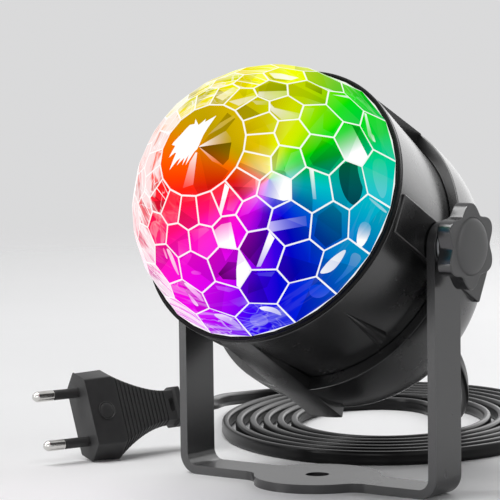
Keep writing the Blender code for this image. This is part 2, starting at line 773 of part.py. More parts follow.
def make_plates(parent, aluminium, board_green, gold_steel, led_white, black):
    plate = add_object("heat_sink_plate", tube(plate_radius, plate_bore, plate_bottom,
                                               plate_bottom + plate_thick, 36), aluminium)
    board = add_object("led_board", tube(board_radius, plate_bore, board_bottom, board_top, 36),
                       board_green)
    for angle_deg in board_screw_angles:
        for piece in (plate, board):
            hole = bore(pilot_radius, -overrun, board_top + overrun)
            combine(piece, around_axis(hole, angle_deg, fixing_circle))
    plate.parent = parent
    board.parent = parent
    for number, angle_deg in enumerate(board_screw_angles, 1):
        screw = screw_shape(screw_shank_radius, board_screw_length)
        screw = moved(screw, Matrix.Translation((0, 0, board_top + part_gap)))
        add_object(f"board_screw_{number}", around_axis(screw, angle_deg, fixing_circle),
                   gold_steel, parent)
    lens_base = board_top + part_gap
    flat = lens_base + led_base_thick
    profile = [(0, lens_base), (led_base_radius, lens_base), (led_base_radius, flat),
               (led_lens_radius, flat)]
    lens_steps = 4
    for i in range(1, lens_steps + 1):
        angle = math.pi / 2 * i / lens_steps
        across = math.cos(angle) if i < lens_steps else 0
        profile.append((led_lens_radius * across, flat + led_lens_rise * math.sin(angle)))
    for name, angle_deg in (("led_red", 90), ("led_green", 210), ("led_blue", 330)):
        add_object(name, around_axis(turned(profile, 16), angle_deg, led_circle), led_white, parent)
    low = (-receiver_depth / 2, -receiver_width / 2, lens_base)
    high = (receiver_depth / 2, receiver_width / 2, lens_base + receiver_height)
    add_object("remote_receiver", around_axis(block(low, high), 270, receiver_circle), black, parent)


def screw_shape(shank_radius, length):
    # Pan head above the seat at height zero, shank below it
    head = screw_head_radius
    return turned([(0, -length), (shank_radius / 2, -length), (shank_radius, shank_radius - length),
                   (shank_radius, 0), (head, 0), (head, screw_head_thick / 2),
                   (head * screw_head_top_share, screw_head_thick), (0, screw_head_thick)], 12)


def make_electronics(parent, board_green, black, can_metal, steel):
    board_face = driver_height + board_thick
    board = add_object("driver_board", rod(driver_radius, driver_height, board_face, 36), board_green)
    for angle_deg in post_angles:
        hole = bore(post_pilot, driver_height - overrun, board_face + overrun, 16)
        combine(board, around_axis(hole, angle_deg, post_circle))
    board.parent = parent
    for number, angle_deg in enumerate(post_angles, 1):
        screw = screw_shape(driver_screw_radius, driver_screw_length)
        screw = moved(screw, Matrix.Translation((0, 0, board_face + part_gap)))
        add_object(f"driver_screw_{number}", around_axis(screw, angle_deg, post_circle), steel, parent)
    seat = board_face + part_gap
    width, depth, height = transformer_size
    low = (transformer_place - width / 2, -depth, seat)
    high = (transformer_place + width / 2, 0, seat + height)
    add_object("transformer", block(low, high), black, parent)
    can = rod(capacitor_radius, seat, seat + capacitor_length, 24)
    can = moved(can, Matrix.Translation((*capacitor_place, 0)))
    add_object("smoothing_capacitor", can, can_metal, parent)
    capsule = rod(microphone_radius, microphone_back, microphone_back + microphone_length, 24)
    capsule = moved(capsule, Matrix.Translation((0, microphone_place, 0)))
    add_object("microphone", capsule, can_metal, parent)


def make_housing_screws(parent, steel):
    for number, angle_deg in enumerate(housing_angles, 1):
        screw = screw_shape(screw_shank_radius, housing_screw_length)
        screw = moved(screw, Matrix.Rotation(math.pi, 4, "X"))
        screw = moved(screw, Matrix.Translation((0, 0, counterbore_seat - part_gap)))
        add_object(f"housing_screw_{number}", around_axis(screw, angle_deg, fixing_circle),
                   steel, parent)


def make_gland(parent, rubber):
    # A neck through the shell, a flange outside it and a ribbed boot that tapers to the lead
    steps = 16
    flange_top = bowl_back - part_gap
    flange_low = flange_top - gland_flange_thick
    rings = [circle(gland_neck_radius, flange_top + gland_neck_length, steps),
             circle(gland_neck_radius, flange_top, steps),
             circle(gland_flange_radius, flange_top, steps),
             circle(gland_flange_radius, flange_low, steps)]
    sections = 2 * gland_ribs + 1
    for i in range(sections + 1):
        share = i / sections
        rib = gland_rib_rise if i % 2 == 0 and i < sections else 0
        tall = gland_root[0] + share * (gland_tip[0] - gland_root[0]) + rib
        wide = gland_root[1] + share * (gland_tip[1] - gland_root[1]) + rib
        height = flange_low - share * gland_length
        rings.append(circle(wide, height, steps, tall / wide))
    add_object("cord_gland", loft(rings), rubber, parent)


def lobed(radius_at_tip, radius_at_valley, height, steps):
    ring = []
    for i in range(steps):
        angle = 2 * math.pi * i / steps
        swell = (0.5 + 0.5 * math.cos(knob_lobes * angle)) ** 0.85
        radius = radius_at_valley + (radius_at_tip - radius_at_valley) * swell
        ring.append(Vector((radius * math.cos(angle), radius * math.sin(angle), height)))
    return ring


def make_knob_side(root, head, side, name, steel, brass, nylon, black):
    # Pieces are made along +Z and laid on the tilt axis, pointing out
    axis = add_empty(f"knob_{name}_axis", root, (0, 0, pivot_height))
    insert = along_x(tube(insert_radius, insert_bore, insert_inner, insert_outer), side)
    add_object(f"pivot_insert_{name}", insert, brass, head)
    low = recess_floor + slip_gap
    washer = along_x(tube(friction_radius, pivot_hole_radius, low, low + friction_thick), side)
    add_object(f"friction_washer_{name}", washer, nylon, head)
    washer = tube(plain_washer_radius, pivot_hole_radius, washer_face,
                  washer_face + plain_washer_thick)
    add_object(f"plain_washer_{name}", along_x(washer, side), steel, axis)
    stud_end = knob_face + knob_bore_depth - part_gap
    add_object(f"knob_stud_{name}", along_x(rod(stud_radius, stud_inner, stud_end), side),
               steel, axis)
    steps = 42
    fit = stud_radius + slip_gap
    bore_end = knob_face + knob_bore_depth
    back = knob_face + knob_hub_length
    front = back + knob_thick
    tip_in = knob_tip_radius - knob_edge
    valley_in = knob_valley_radius - knob_edge
    rings = [circle(0, bore_end, steps), circle(fit, bore_end, steps),
             circle(fit, knob_face, steps), circle(knob_hub_radius, knob_face, steps),
             circle(knob_hub_radius, back, steps),
             lobed(tip_in, valley_in, back, steps),
             lobed(knob_tip_radius, knob_valley_radius, back + knob_edge, steps),
             lobed(knob_tip_radius, knob_valley_radius, front - knob_edge, steps),
             lobed(tip_in, valley_in, front, steps), circle(knob_cap_radius, front, steps)]
    cap_steps = 2
    for i in range(1, cap_steps + 1):
        angle = math.pi / 2 * i / cap_steps
        across = math.cos(angle) ** 0.6 if i < cap_steps else 0
        rings.append(circle(knob_cap_radius * across, front + knob_cap_rise * math.sin(angle), steps))
    add_object(f"clamp_knob_{name}", along_x(loft(rings), side), black, axis)


def smooth_route(points, spacing):
    # A smooth curve through hand-picked points, read off at an even spacing
    padded = [2 * points[0] - points[1]] + points + [2 * points[-1] - points[-2]]
    fine = []
    for a, b, c, d in zip(padded, padded[1:], padded[2:], padded[3:]):
        for i in range(20):
            t = i / 20
            fine.append(0.5 * (2 * b + (c - a) * t + (2 * a - 5 * b + 4 * c - d) * t ** 2
                               + (3 * b - a - 3 * c + d) * t ** 3))
    fine.append(points[-1])
    lengths = [0.0]
    for first, second in zip(fine, fine[1:]):
        lengths.append(lengths[-1] + (second - first).length)
    count = max(2, round(lengths[-1] / spacing))
    route = []
    index = 0
    for i in range(count + 1):
        target = lengths[-1] * i / count
        while index < len(fine) - 2 and lengths[index + 1] < target:
            index += 1
        span = lengths[index + 1] - lengths[index]
        route.append(fine[index].lerp(fine[index + 1], (target - lengths[index]) / span))
    return route


def flat_tube(route, start_way, end_way, first_up=None, lean_points=0):
    # Sweeps the flat lead's section along a route, its wide side near the vertical
    half_wide = cord_width / 2
    half_thick = cord_thick / 2
    section = [(half_thick, cord_edge), (cord_half_flat, half_wide), (-cord_half_flat, half_wide),
               (-half_thick, cord_edge), (-half_thick, -cord_edge), (-cord_half_flat, -half_wide),
               (cord_half_flat, -half_wide), (half_thick, -cord_edge)]
    rings = []
    count = len(route)
    for i, point in enumerate(route):
        ahead = route[min(i + 1, count - 1)]
        behind = route[max(i - 1, 0)]
        along = (ahead - behind).normalized()
        if i == 0:
            along = start_way
        if i == count - 1:
            along = end_way
        up = Vector((0, 0, 1))
        if i < lean_points:
            up = first_up.lerp(up, i / lean_points)
        side = along.cross(up).normalized()
        up = side.cross(along)
        rings.append([point + side * x + up * y for x, y in section])
    return loft(rings)


def coil_route():
    # An oval spiral that winds inwards, clockwise seen from above
    major = Vector((math.cos(math.radians(coil_axis_deg)), math.sin(math.radians(coil_axis_deg)), 0))
    minor = Vector((major.y, -major.x, 0))
    centre = Vector((*coil_centre, cord_width / 2))
    count = round(points_per_loop * coil_sweep_deg / 360)
    route = []
    for i in range(count + 1):
        share = i / count
        angle = math.radians(coil_start_deg + coil_sweep_deg * share)
        long = coil_outer[0] + share * (coil_inner[0] - coil_outer[0])
        short = coil_outer[1] + share * (coil_inner[1] - coil_outer[1])
        route.append(centre + major * long * math.cos(angle) + minor * short * math.sin(angle))
    return route


def print_least_gap(route):
    # The gap between neighbouring turns, less the lead's own thickness
    least = min((a - b).length for i, a in enumerate(route)
                for b in route[i + points_per_loop // 2:])
    print("coil: least gap to itself %.2f mm" % ((least - cord_thick) / mm))


def route_length(route):
    return sum((b - a).length for a, b in zip(route, route[1:]))


def make_lead(root, rubber):
    coil = coil_route()
    print_least_gap(coil)
    start_way = (coil[1] - coil[0]).normalized()
    end_way = (coil[-1] - coil[-2]).normalized()
    add_object("cord_coil", flat_tube(coil, start_way, end_way), rubber, root, smooth_deg=50)
    spacing = 2 * cord_width

    # From the plug, round the left of the bracket and on to the outer turn
    yaw = math.radians(plug_yaw_deg)
    pins_way = Vector((math.cos(yaw), math.sin(yaw), 0))
    plug_up = Vector((math.sin(yaw) * math.sin(math.radians(plug_lean_deg)),
                      -math.cos(yaw) * math.sin(math.radians(plug_lean_deg)),
                      math.cos(math.radians(plug_lean_deg))))
    exit_point = plug_centre() - pins_way * (plug_length + part_gap)
    lead_points = [exit_point, exit_point - pins_way * cord_width]
    lead_points += lead_route
    lead_points += [coil[0] - start_way * (cord_width + part_gap), coil[0] - start_way * part_gap]
    lead = smooth_route(lead_points, spacing)
    lead_bm = flat_tube(lead, -pins_way, start_way, plug_up, 8)
    add_object("cord_lead", lead_bm, rubber, root, smooth_deg=50)

    # From the inner turn up to the gland at the back of the head
    axis = Vector((0, -math.cos(tilt), math.sin(tilt)))
    gland_point = Vector((0, 0, pivot_height)) + axis * (gland_tip_height - part_gap)
    rise_points = [coil[-1] + end_way * part_gap, coil[-1] + end_way * (cord_width + part_gap)]
    rise_points += rise_route
    rise_points += [gland_point - axis * cord_width, gland_point]
    rise = smooth_route(rise_points, spacing)
    add_object("cord_rise", flat_tube(rise, end_way, axis), rubber, root, smooth_deg=50)
    total = route_length(lead) + route_length(coil) + route_length(rise)
    print("lead: %.3f m in all, %.2f turns" % (total, coil_sweep_deg / 360))


def plug_centre():
    # The plug stands on its lower edge
    height = plug_half_width * math.cos(math.radians(plug_lean_deg))
    return Vector((*plug_place, height))


def make_plug(root, vinyl, nickel):
    # Made along +X, pins forward, with the pins one above the other, then leaned and placed
    turn = (Matrix.Translation(plug_centre())
            @ Matrix.Rotation(math.radians(plug_yaw_deg), 4, "Z")
            @ Matrix.Rotation(math.radians(plug_lean_deg), 4, "X"))

    def section(back, half_width, flat_half_width, half_thick):
        points = [(0, half_width), (half_thick, flat_half_width), (half_thick, -flat_half_width),
                  (0, -half_width), (-half_thick, -flat_half_width), (-half_thick, flat_half_width)]
        return [Vector((-back, y, z)) for y, z in points]

    def neck(back):
        # Concave taper from the block to the neck
        share = min(1.0, (back - plug_block_length) / (plug_rib_back - plug_block_length))
        ease = 1 - (1 - share) ** 1.7
        half_width = plug_half_width + ease * (plug_neck_half_width - plug_half_width)
        half_thick = plug_half_thick + share * (plug_neck_half_thick - plug_half_thick)
        flat = half_width * (plug_flat_share + 0.1 * share)
        return half_width, flat, half_thick

    rings = [section(0, plug_half_width, plug_flat_half_width, plug_half_thick),
             section(plug_block_length, plug_half_width, plug_flat_half_width, plug_half_thick)]
    pitch = (plug_rib_back - plug_rib_front) / plug_ribs
    for i in range(plug_ribs):
        start = plug_rib_front + i * pitch
        for offset_share, depth in ((0.0, 0), (0.25, plug_rib_depth), (0.5, 0)):
            back = start + offset_share * pitch
            half_width, flat, half_thick = neck(back)
            rings.append(section(back, half_width - depth, flat - depth, half_thick - depth))
    collar = plug_length - plug_collar_length
    half_width, flat, half_thick = neck(plug_rib_back)
    grow = plug_collar_rise
    rings += [section(plug_rib_back, half_width, flat, half_thick),
              section(collar, half_width, flat, half_thick),
              section(collar, half_width + grow, flat + grow, half_thick + grow),
              section(plug_length, half_width + grow, flat + grow, half_thick + grow)]
    body = add_object("plug_body", loft(rings), vinyl, smooth_deg=25)
    for face in (1, -1):
        dimple = turned([(0, 0), (plug_dimple_radius, 0),
                         (plug_dimple_radius, plug_half_thick + plug_dimple_rise / 2),
                         (plug_dimple_radius / 2, plug_half_thick + plug_dimple_rise),
                         (0, plug_half_thick + plug_dimple_rise)], 18)
        dimple = moved(dimple, Matrix.Rotation(-face * math.pi / 2, 4, "X"))
        combine(body, moved(dimple, Matrix.Translation((-plug_dimple_place, 0, 0))), "UNION")
    bore_radius = pin_core_radius + slip_gap
    for up in (1, -1):
        hole = along_x(bore(bore_radius, -pin_root - part_gap, overrun), 1)
        combine(body, moved(hole, Matrix.Translation((0, 0, up * pin_spacing / 2))))
    body.data.transform(turn)
    body.parent = root
    for up, name in ((1, "upper"), (-1, "lower")):
        place = turn @ Matrix.Translation((0, 0, up * pin_spacing / 2))
        neck_end = sleeve_length + 2 * part_gap
        pin = turned([(0, -pin_root), (pin_core_radius, -pin_root), (pin_core_radius, neck_end),
                      (pin_radius, neck_end), (pin_radius, pin_length - pin_tip_length),
                      (pin_radius / 2, pin_length), (0, pin_length)], 14)
        add_object(f"plug_pin_{name}", moved(along_x(pin, 1), place), nickel, root)
        sleeve = tube(sleeve_radius, bore_radius, part_gap, part_gap + sleeve_length, 14)
        add_object(f"pin_sleeve_{name}", moved(along_x(sleeve, 1), place), vinyl, root)


def build():
    clear_scene()
    paint = finish_material("dark_grey_paint", (0.035, 0.035, 0.04), 0.42, 0.3)
    shell_black = finish_material("black_shell_plastic", (0.012, 0.012, 0.013), 0.38)
    trim_black = finish_material("gloss_black_trim", (0.006, 0.006, 0.007), 0.18)
    knob_black = finish_material("gloss_black_knob", (0.010, 0.010, 0.011), 0.22)
    clear = finish_material("clear_dome", (0.85, 0.5, 0.9), 0.06, 0.0, 0.6)
    clear_post = finish_material("clear_post", (0.9, 0.9, 0.92), 0.1, 0.0, 0.6)
    steel = finish_material("zinc_steel", (0.55, 0.56, 0.58), 0.35, 1.0)
    brass = finish_material("brass", (0.75, 0.55, 0.22), 0.3, 1.0)
    nylon = finish_material("white_nylon", (0.8, 0.8, 0.78), 0.5)
    aluminium = finish_material("aluminium", (0.8, 0.81, 0.82), 0.35, 1.0)
    board_green = finish_material("board_green", (0.02, 0.16, 0.06), 0.45)
    led_white = finish_material("led_lens", (0.9, 0.9, 0.85), 0.15)
    rubber = finish_material("black_cord_rubber", (0.012, 0.012, 0.013), 0.5)
    vinyl = finish_material("black_plug_vinyl", (0.012, 0.012, 0.013), 0.45)
    nickel = finish_material("nickel", (0.8, 0.8, 0.8), 0.12, 1.0)

    # The lamp's frame stands so that its front and back reach equally far from the origin
    front_reach = dome_centre * math.cos(tilt) + dome_radius
    back_reach = -gland_tip_height * math.cos(tilt) + gland_tip[0] * math.sin(tilt)
    root = add_empty("lamp_root", None, (0, (front_reach - back_reach) / 2, 0))
    head = add_empty("head_tilt_axis", root, (0, 0, pivot_height), (math.pi / 2 - tilt, 0, 0))
    spin = add_empty("dome_spin_axis", head)

    make_bracket(root, paint)
    make_front_shell(head, shell_black)
    make_rear_shell(head, shell_black)
    make_bezel(head, trim_black)
    make_dome(spin, clear)
    make_drive(head, spin, steel, steel, clear_post)
    make_plates(head, aluminium, board_green, steel, led_white, trim_black)
    make_electronics(head, board_green, trim_black, aluminium, steel)
    make_housing_screws(head, steel)
    make_gland(head, rubber)
    for side, name in ((1, "right"), (-1, "left")):
        make_knob_side(root, head, side, name, steel, brass, nylon, knob_black)
    make_lead(root, rubber)
    make_plug(root, vinyl, nickel)


build()
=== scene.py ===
import json
import math
import random

import bmesh
import bpy
from mathutils import Matrix, Vector
from mathutils.geometry import delaunay_2d_cdt


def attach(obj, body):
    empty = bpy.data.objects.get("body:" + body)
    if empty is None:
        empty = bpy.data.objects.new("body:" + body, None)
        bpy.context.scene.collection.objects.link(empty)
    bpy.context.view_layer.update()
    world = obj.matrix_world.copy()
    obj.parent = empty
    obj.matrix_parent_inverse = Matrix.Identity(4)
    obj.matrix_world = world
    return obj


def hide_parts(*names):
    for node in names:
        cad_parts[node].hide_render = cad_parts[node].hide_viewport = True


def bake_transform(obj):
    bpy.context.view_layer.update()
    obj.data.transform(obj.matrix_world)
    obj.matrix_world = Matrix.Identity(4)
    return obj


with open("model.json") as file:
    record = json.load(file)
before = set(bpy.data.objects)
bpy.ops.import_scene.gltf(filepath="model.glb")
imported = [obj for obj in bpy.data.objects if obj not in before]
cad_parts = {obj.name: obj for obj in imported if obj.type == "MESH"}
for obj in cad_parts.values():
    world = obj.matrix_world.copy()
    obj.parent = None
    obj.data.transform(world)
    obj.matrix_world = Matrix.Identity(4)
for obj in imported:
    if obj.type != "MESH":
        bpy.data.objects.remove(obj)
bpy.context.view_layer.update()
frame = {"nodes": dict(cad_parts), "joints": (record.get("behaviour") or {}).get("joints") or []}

mm = 0.001
joints = {joint["name"]: joint for joint in frame["joints"]}
pivot = Vector(joints["head_tilt"]["pos_m"])
pivotPoint = Vector((0, 0, pivot.z / mm))
domeAxis = Vector(joints["dome_spin"]["axis"])
headTurn = Matrix.Rotation(math.acos(domeAxis.z), 4, "X")
headFrame = Matrix.Translation(pivot) @ headTurn @ Matrix.Scale(mm, 4)     # +Z out through the dome
standFrame = Matrix.Translation((0, pivot.y, 0)) @ Matrix.Scale(mm, 4)     # the foot's middle, on the floor
across = Matrix.Translation(pivotPoint)     # from the foot up to the knobs' axis


# Mesh helpers, all in millimetres until a piece is placed

def loft(rings, closed=False):
    # Joins rings of points; a ring of one point is a pole, and open ends are capped
    bm = bmesh.new()
    made = [[bm.verts.new(point) for point in ring] for ring in rings]
    for first, second in zip(made, made[1:] + made[:1] if closed else made[1:]):
        count = max(len(first), len(second))
        for i in range(count):
            j = (i + 1) % count
            corners = list(dict.fromkeys([first[i % len(first)], first[j % len(first)],
                                          second[j % len(second)], second[i % len(second)]]))
            if len(corners) > 2:
                bm.faces.new(corners)
    for ring in () if closed else (made[0], made[-1]):
        if len(ring) > 2:
            bm.faces.new(ring)
    bmesh.ops.recalc_face_normals(bm, faces=bm.faces)
    return bm


def quarter(steps):
    # Sine and cosine of even steps from 0 to 90 degrees
    return [(math.sin(math.pi / 2 * k / steps), math.cos(math.pi / 2 * k / steps)) for k in range(steps + 1)]


def circle(radius, height, steps, oval=1.0):
    if radius < 1e-6:
        return [Vector((0, 0, height))]
    turns = [2 * math.pi * i / steps for i in range(steps)]
    return [Vector((radius * math.cos(a), radius * oval * math.sin(a), height)) for a in turns]


def roundCorner(before, here, after, radius):
    back, ahead = before - here, after - here
    reach = min(radius, back.length * 0.45, ahead.length * 0.45)
    start, end = here + back.normalized() * reach, here + ahead.normalized() * reach
    return [start * (1 - t) ** 2 + here * 2 * t * (1 - t) + end * t ** 2 for t in (0, 0.25, 0.5, 0.75, 1)]


def rounded(profile, radius, closed=True):
    # Rounds the corners of a (radius, height) profile, but not those on the axis
    points = [Vector(point) for point in profile]
    made = []
    for i, here in enumerate(points):
        before, after = points[i - 1], points[(i + 1) % len(points)]
        straight = (before - here).normalized().dot((after - here).normalized()) < -0.97
        if here.x < 1e-6 or straight or (not closed and i in (0, len(points) - 1)):
            made.append(here)
        else:
            made += roundCorner(before, here, after, radius)
    return [(point.x, point.y) for point in made]


def turned(profile, steps=128, oval=1.0):
    rings = [circle(radius, height, steps, oval) for radius, height in profile]
    return loft(rings, closed=len(rings[0]) > 1 or len(rings[-1]) > 1)


def rod(radius, low, high, steps):
    return turned([(0, low), (radius, low), (radius, high), (0, high)], steps)


def moved(bm, matrix):
    bmesh.ops.transform(bm, matrix=matrix, verts=bm.verts)
    return bm


def shifted(bm, x=0, y=0, z=0):
    return moved(bm, Matrix.Translation((x, y, z)))


def turnedBy(bm, degrees, radius=0.0):
    return moved(bm, Matrix.Rotation(math.radians(degrees), 4, "Z") @ Matrix.Translation((radius, 0, 0)))


def alongX(bm, side):
    return moved(bm, Matrix.Rotation(side * math.pi / 2, 4, "Y"))


def block(size, height=0):
    bm = bmesh.new()
    bmesh.ops.create_cube(bm, size=1.0)
    return moved(bm, Matrix.Translation((0, 0, height)) @ Matrix.Diagonal((*size, 1)))


def linked(name, data):
    thing = bpy.data.objects.new(name, data)
    bpy.context.scene.collection.objects.link(thing)
    return thing


def plainObject(bm, name="work"):
    mesh = bpy.data.meshes.new(name)
    bm.to_mesh(mesh)
    bm.free()
    return linked(name, mesh)


def evaluatedMesh(thing):
    # The object's mesh with its modifiers worked in; the object itself goes
    graph = bpy.context.evaluated_depsgraph_get()
    mesh = bpy.data.meshes.new_from_object(thing.evaluated_get(graph))
    bpy.data.objects.remove(thing)
    return mesh


def addMesh(bm, mesh):
    bm.from_mesh(mesh)
    bpy.data.meshes.remove(mesh)
    return bm


def modified(bm, kind, **settings):
    # The mesh with one modifier worked in
    thing = plainObject(bm)
    modifier = thing.modifiers.new(kind, kind)
    for key, value in settings.items():
        setattr(modifier, key, value)
    return addMesh(bmesh.new(), evaluatedMesh(thing))


def bevelled(bm, width, segments=3, degrees=30):
    return modified(bm, "BEVEL", width=width, segments=segments, limit_method="ANGLE",
                    angle_limit=math.radians(degrees), miter_outer="MITER_ARC")


def cut(bm, toolBm):
    tool = plainObject(toolBm)
    made = modified(bm, "BOOLEAN", operation="DIFFERENCE", solver="EXACT", object=tool)
    bpy.data.objects.remove(tool)
    bmesh.ops.remove_doubles(made, verts=made.verts, dist=1e-4)
    return made


def addPiece(name, parts, place, finish, body, replaces=(), sharp=35, weighted=True):
    # One finished object from several meshes, at the origin, with its place in its mesh
    bm = bmesh.new()
    for part in parts:
        mesh = bpy.data.meshes.new("part")
        part.to_mesh(mesh)
        part.free()
        addMesh(bm, mesh)
    thing = plainObject(bm)
    thing.data.shade_smooth()
    thing.data.set_sharp_from_angle(angle=math.radians(sharp))
    if weighted:
        normals = thing.modifiers.new("normals", "WEIGHTED_NORMAL")
        normals.keep_sharp, normals.weight = True, 60
    mesh = evaluatedMesh(thing)
    mesh.transform(place)
    mesh.name = name
    mesh.materials.clear()
    mesh.materials.append(finish)
    made = linked(name, mesh)
    if body:
        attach(made, body)
    if replaces:
        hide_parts(*replaces)
    return made


# Node helpers, for shaders and for Geometry Nodes

class Link:
    # A socket of a node tree, on which Python's operators add Math nodes
    def __init__(self, owner, socket):
        self.owner, self.socket = owner, socket

    def maths(self, operation, *others):
        return self.owner.node("ShaderNodeMath", {"operation": operation}, [self, *others])

    def __add__(self, other):
        return self.maths("ADD", other)

    def __sub__(self, other):
        return self.maths("SUBTRACT", other)

    def __rsub__(self, other):
        return self.owner.node("ShaderNodeMath", {"operation": "SUBTRACT"}, [other, self])

    def __mul__(self, other):
        return self.maths("MULTIPLY", other)

    def __truediv__(self, other):
        return self.maths("DIVIDE", other)

    __radd__, __rmul__ = __add__, __mul__

    def output(self, name):
        return Link(self.owner, self.socket.node.outputs[name])

    def rise(self, low, high):
        # 0 below low, 1 above high, smooth between
        return self.owner.node("ShaderNodeMapRange", {"interpolation_type": "SMOOTHSTEP"},
                               {"Value": self, "From Min": low, "From Max": high})


class Nodes:
    # A node tree, in which every node is laid by the same call
    def __init__(self, tree):
        self.tree = tree

    def node(self, kind, settings=None, sockets=None):
        made = self.tree.nodes.new(kind)
        for key, value in (settings or {}).items():
            if key == "stops":
                ramp = made.color_ramp
                while len(ramp.elements) < len(value):
                    ramp.elements.new(0.5)
                for element, (place, colour) in zip(ramp.elements, value):
                    element.position, element.color = place, (*colour, 1.0)
            else:
                setattr(made, key, value)
        for key, value in sockets.items() if isinstance(sockets, dict) else enumerate(sockets or []):
            if isinstance(value, Link):
                self.tree.links.new(value.socket, made.inputs[key])
            else:
                made.inputs[key].default_value = value
        return Link(self, next(o for o in made.outputs if o.enabled))


class Shape(Nodes):
    # A Geometry Nodes tree with named inputs
    def __init__(self, name, **inputs):
        super().__init__(bpy.data.node_groups.new(name, "GeometryNodeTree"))
        new = self.tree.interface.new_socket
        new("Geometry", in_out="INPUT", socket_type="NodeSocketGeometry")
        new("Geometry", in_out="OUTPUT", socket_type="NodeSocketGeometry")
        for key, value in inputs.items():
            kind = "Int" if isinstance(value, int) else "Float"
            new(key, in_out="INPUT", socket_type="NodeSocket" + kind).default_value = value
        new("Material", in_out="INPUT", socket_type="NodeSocketMaterial")
        self.given = Link(self, self.tree.nodes.new("NodeGroupInput").outputs[0]).output

    def finish(self, geometry):
        real = self.node("GeometryNodeRealizeInstances", None, [geometry])
        done = self.node("GeometryNodeSetMaterial", None,
                         {"Geometry": real, "Material": self.given("Material")})
        self.tree.links.new(done.socket, self.tree.nodes.new("NodeGroupOutput").inputs["Geometry"])
        return self.tree


def grown(bm, tree, **values):
    # Runs a Geometry Nodes tree on a mesh and gives back the plain result
    thing = plainObject(bm)
    modifier = thing.modifiers.new(tree.name, "NODES")
    modifier.node_group = tree
    for item in tree.interface.items_tree:
        if item.in_out == "INPUT" and item.name in values:
            modifier[item.identifier] = values[item.name]
    return addMesh(bmesh.new(), evaluatedMesh(thing))


class Paint(Nodes):
    # A material and its Principled shader
    def __init__(self, name, **constants):
        self.material = bpy.data.materials.new(name)
        self.material.use_nodes = True
        super().__init__(self.material.node_tree)
        self.shader = self.tree.nodes["Principled BSDF"]
        for key, value in constants.items():
            self.shader.inputs[key.replace("_", " ")].default_value = value

    def feed(self, **sockets):
        for key, link in sockets.items():
            self.tree.links.new(link.socket, self.shader.inputs[key.replace("_", " ")])

    def spot(self):
        return self.node("ShaderNodeTexCoord").output("Object")

    def noise(self, scale, detail=3.0, roughness=0.55, vector=None, distortion=0.0):
        return self.node("ShaderNodeTexNoise", None, {
            "Vector": vector or self.spot(), "Scale": scale, "Detail": detail,
            "Roughness": roughness, "Distortion": distortion})

    def mix(self, factor, first, second, blend="MIX"):
        made = self.node("ShaderNodeMix", {"data_type": "RGBA", "blend_type": blend})
        node = made.socket.node
        for socket, value in ((node.inputs[0], factor), (node.inputs[6], first), (node.inputs[7], second)):
            if isinstance(value, Link):
                self.tree.links.new(value.socket, socket)
            else:
                socket.default_value = value if isinstance(value, (int, float)) else (*value, 1.0)
        return Link(self, node.outputs[2])

    def bump(self, height, distance):
        return self.node("ShaderNodeBump", None, {"Height": height, "Distance": distance, "Strength": 1.0})


def grainFinish(name, colour, rough, grain, depth, patch=60.0, lift=1.35, specular=0.5, metal=0.0, coat=0.0,
                roughVary=0.05, roughFine=0.03):
    # One finish for moulded, painted and rubber surfaces: a fine grain over slow unevenness
    paint = Paint(name, Metallic=metal, Coat_Weight=coat, Coat_Roughness=0.1, Specular_IOR_Level=specular)
    fine, slow = paint.noise(grain, 2.0, 0.6), paint.noise(patch, 4.0, 0.6)
    lighter = [min(1.0, c * lift + 0.002) for c in colour]
    paint.feed(Base_Color=paint.mix(slow.rise(0.35, 0.7), colour, lighter),
               Roughness=slow * roughVary + (rough - roughVary / 2) + (fine - 0.5) * roughFine,
               Normal=paint.bump(fine, depth))
    return paint.material


# The camera stands where the photograph's camera stood

camera = {"azimuth": 36.51, "elevation": 4.94, "roll": -0.72, "distance": 972.5, "focal": 2715.7,
          "aim": (-28.45, 0.0, 81.77), "frame": 500}


def cameraAxes():
    a, e, r = (math.radians(camera[key]) for key in ("azimuth", "elevation", "roll"))
    back = Vector((math.sin(a) * math.cos(e), -math.cos(a) * math.cos(e), math.sin(e)))
    right = Vector((math.cos(a), math.sin(a), 0))
    up = back.cross(right)
    return (right * math.cos(r) + up * math.sin(r), up * math.cos(r) - right * math.sin(r), back)


def makeCamera():
    right, up, back = cameraAxes()
    data = bpy.data.cameras.new("camera")
    data.sensor_width = 36
    data.lens = camera["focal"] * data.sensor_width / camera["frame"]
    data.clip_start, data.clip_end = 0.05, 20
    thing = linked("camera", data)
    eye = standFrame @ Vector(camera["aim"]) + back * camera["distance"] * mm
    thing.matrix_world = Matrix.Translation(eye) @ Matrix((right, up, back)).transposed().to_4x4()
    bpy.context.scene.camera = thing
    return thing


cameraObject = makeCamera()
print("camera ready")


# The lead: one flat cord from the gland, round the coil, to the plug

lead = {"width": 5.4, "thick": 3.3, "groove": 0.28, "grooveHalf": 0.55, "squareness": (0.62, 0.72),
        "slack": (0.08, 0.03), "points": 28, "ring": 2.4, "settle": 36, "leave": 1.0,
        "coilCentre": (-51.0, 122.0), "coilAxis": 120.0, "coilOuter": (97.0, 69.0),
        "coilInner": (53.5, 36.4), "coilStart": -25.0, "coilSweep": 2140.0,
        "toPlug": ((-90.5, 52, 15.2), (-97.5, 68, 13), (-108.5, 85, 10.6), (-120, 102, 8),
                   (-130, 120, 5.7), (-134.85, 139, 3.9), (-133.9, 156, 3.0)),
        "toHead": ((-89.3, 151.8, 2.7), (-81.5, 160.4, 2.7), (-70, 163.8, 2.7), (-58.5, 160.6, 2.7),
                   (-49.5, 153.3, 2.7), (-41.3, 145.4, 2.75), (-33.7, 138, 3.2), (-26, 131.5, 5.3),
                   (-18.6, 125, 9.6), (-12, 117.5, 15.8), (-6.8, 109, 23.2), (-3, 99.7, 31),
                   (-0.8, 90, 38)),
        "glandTip": -80.8, "inGland": 1.5, "bendFrom": 14.0, "bendTo": 50.0}
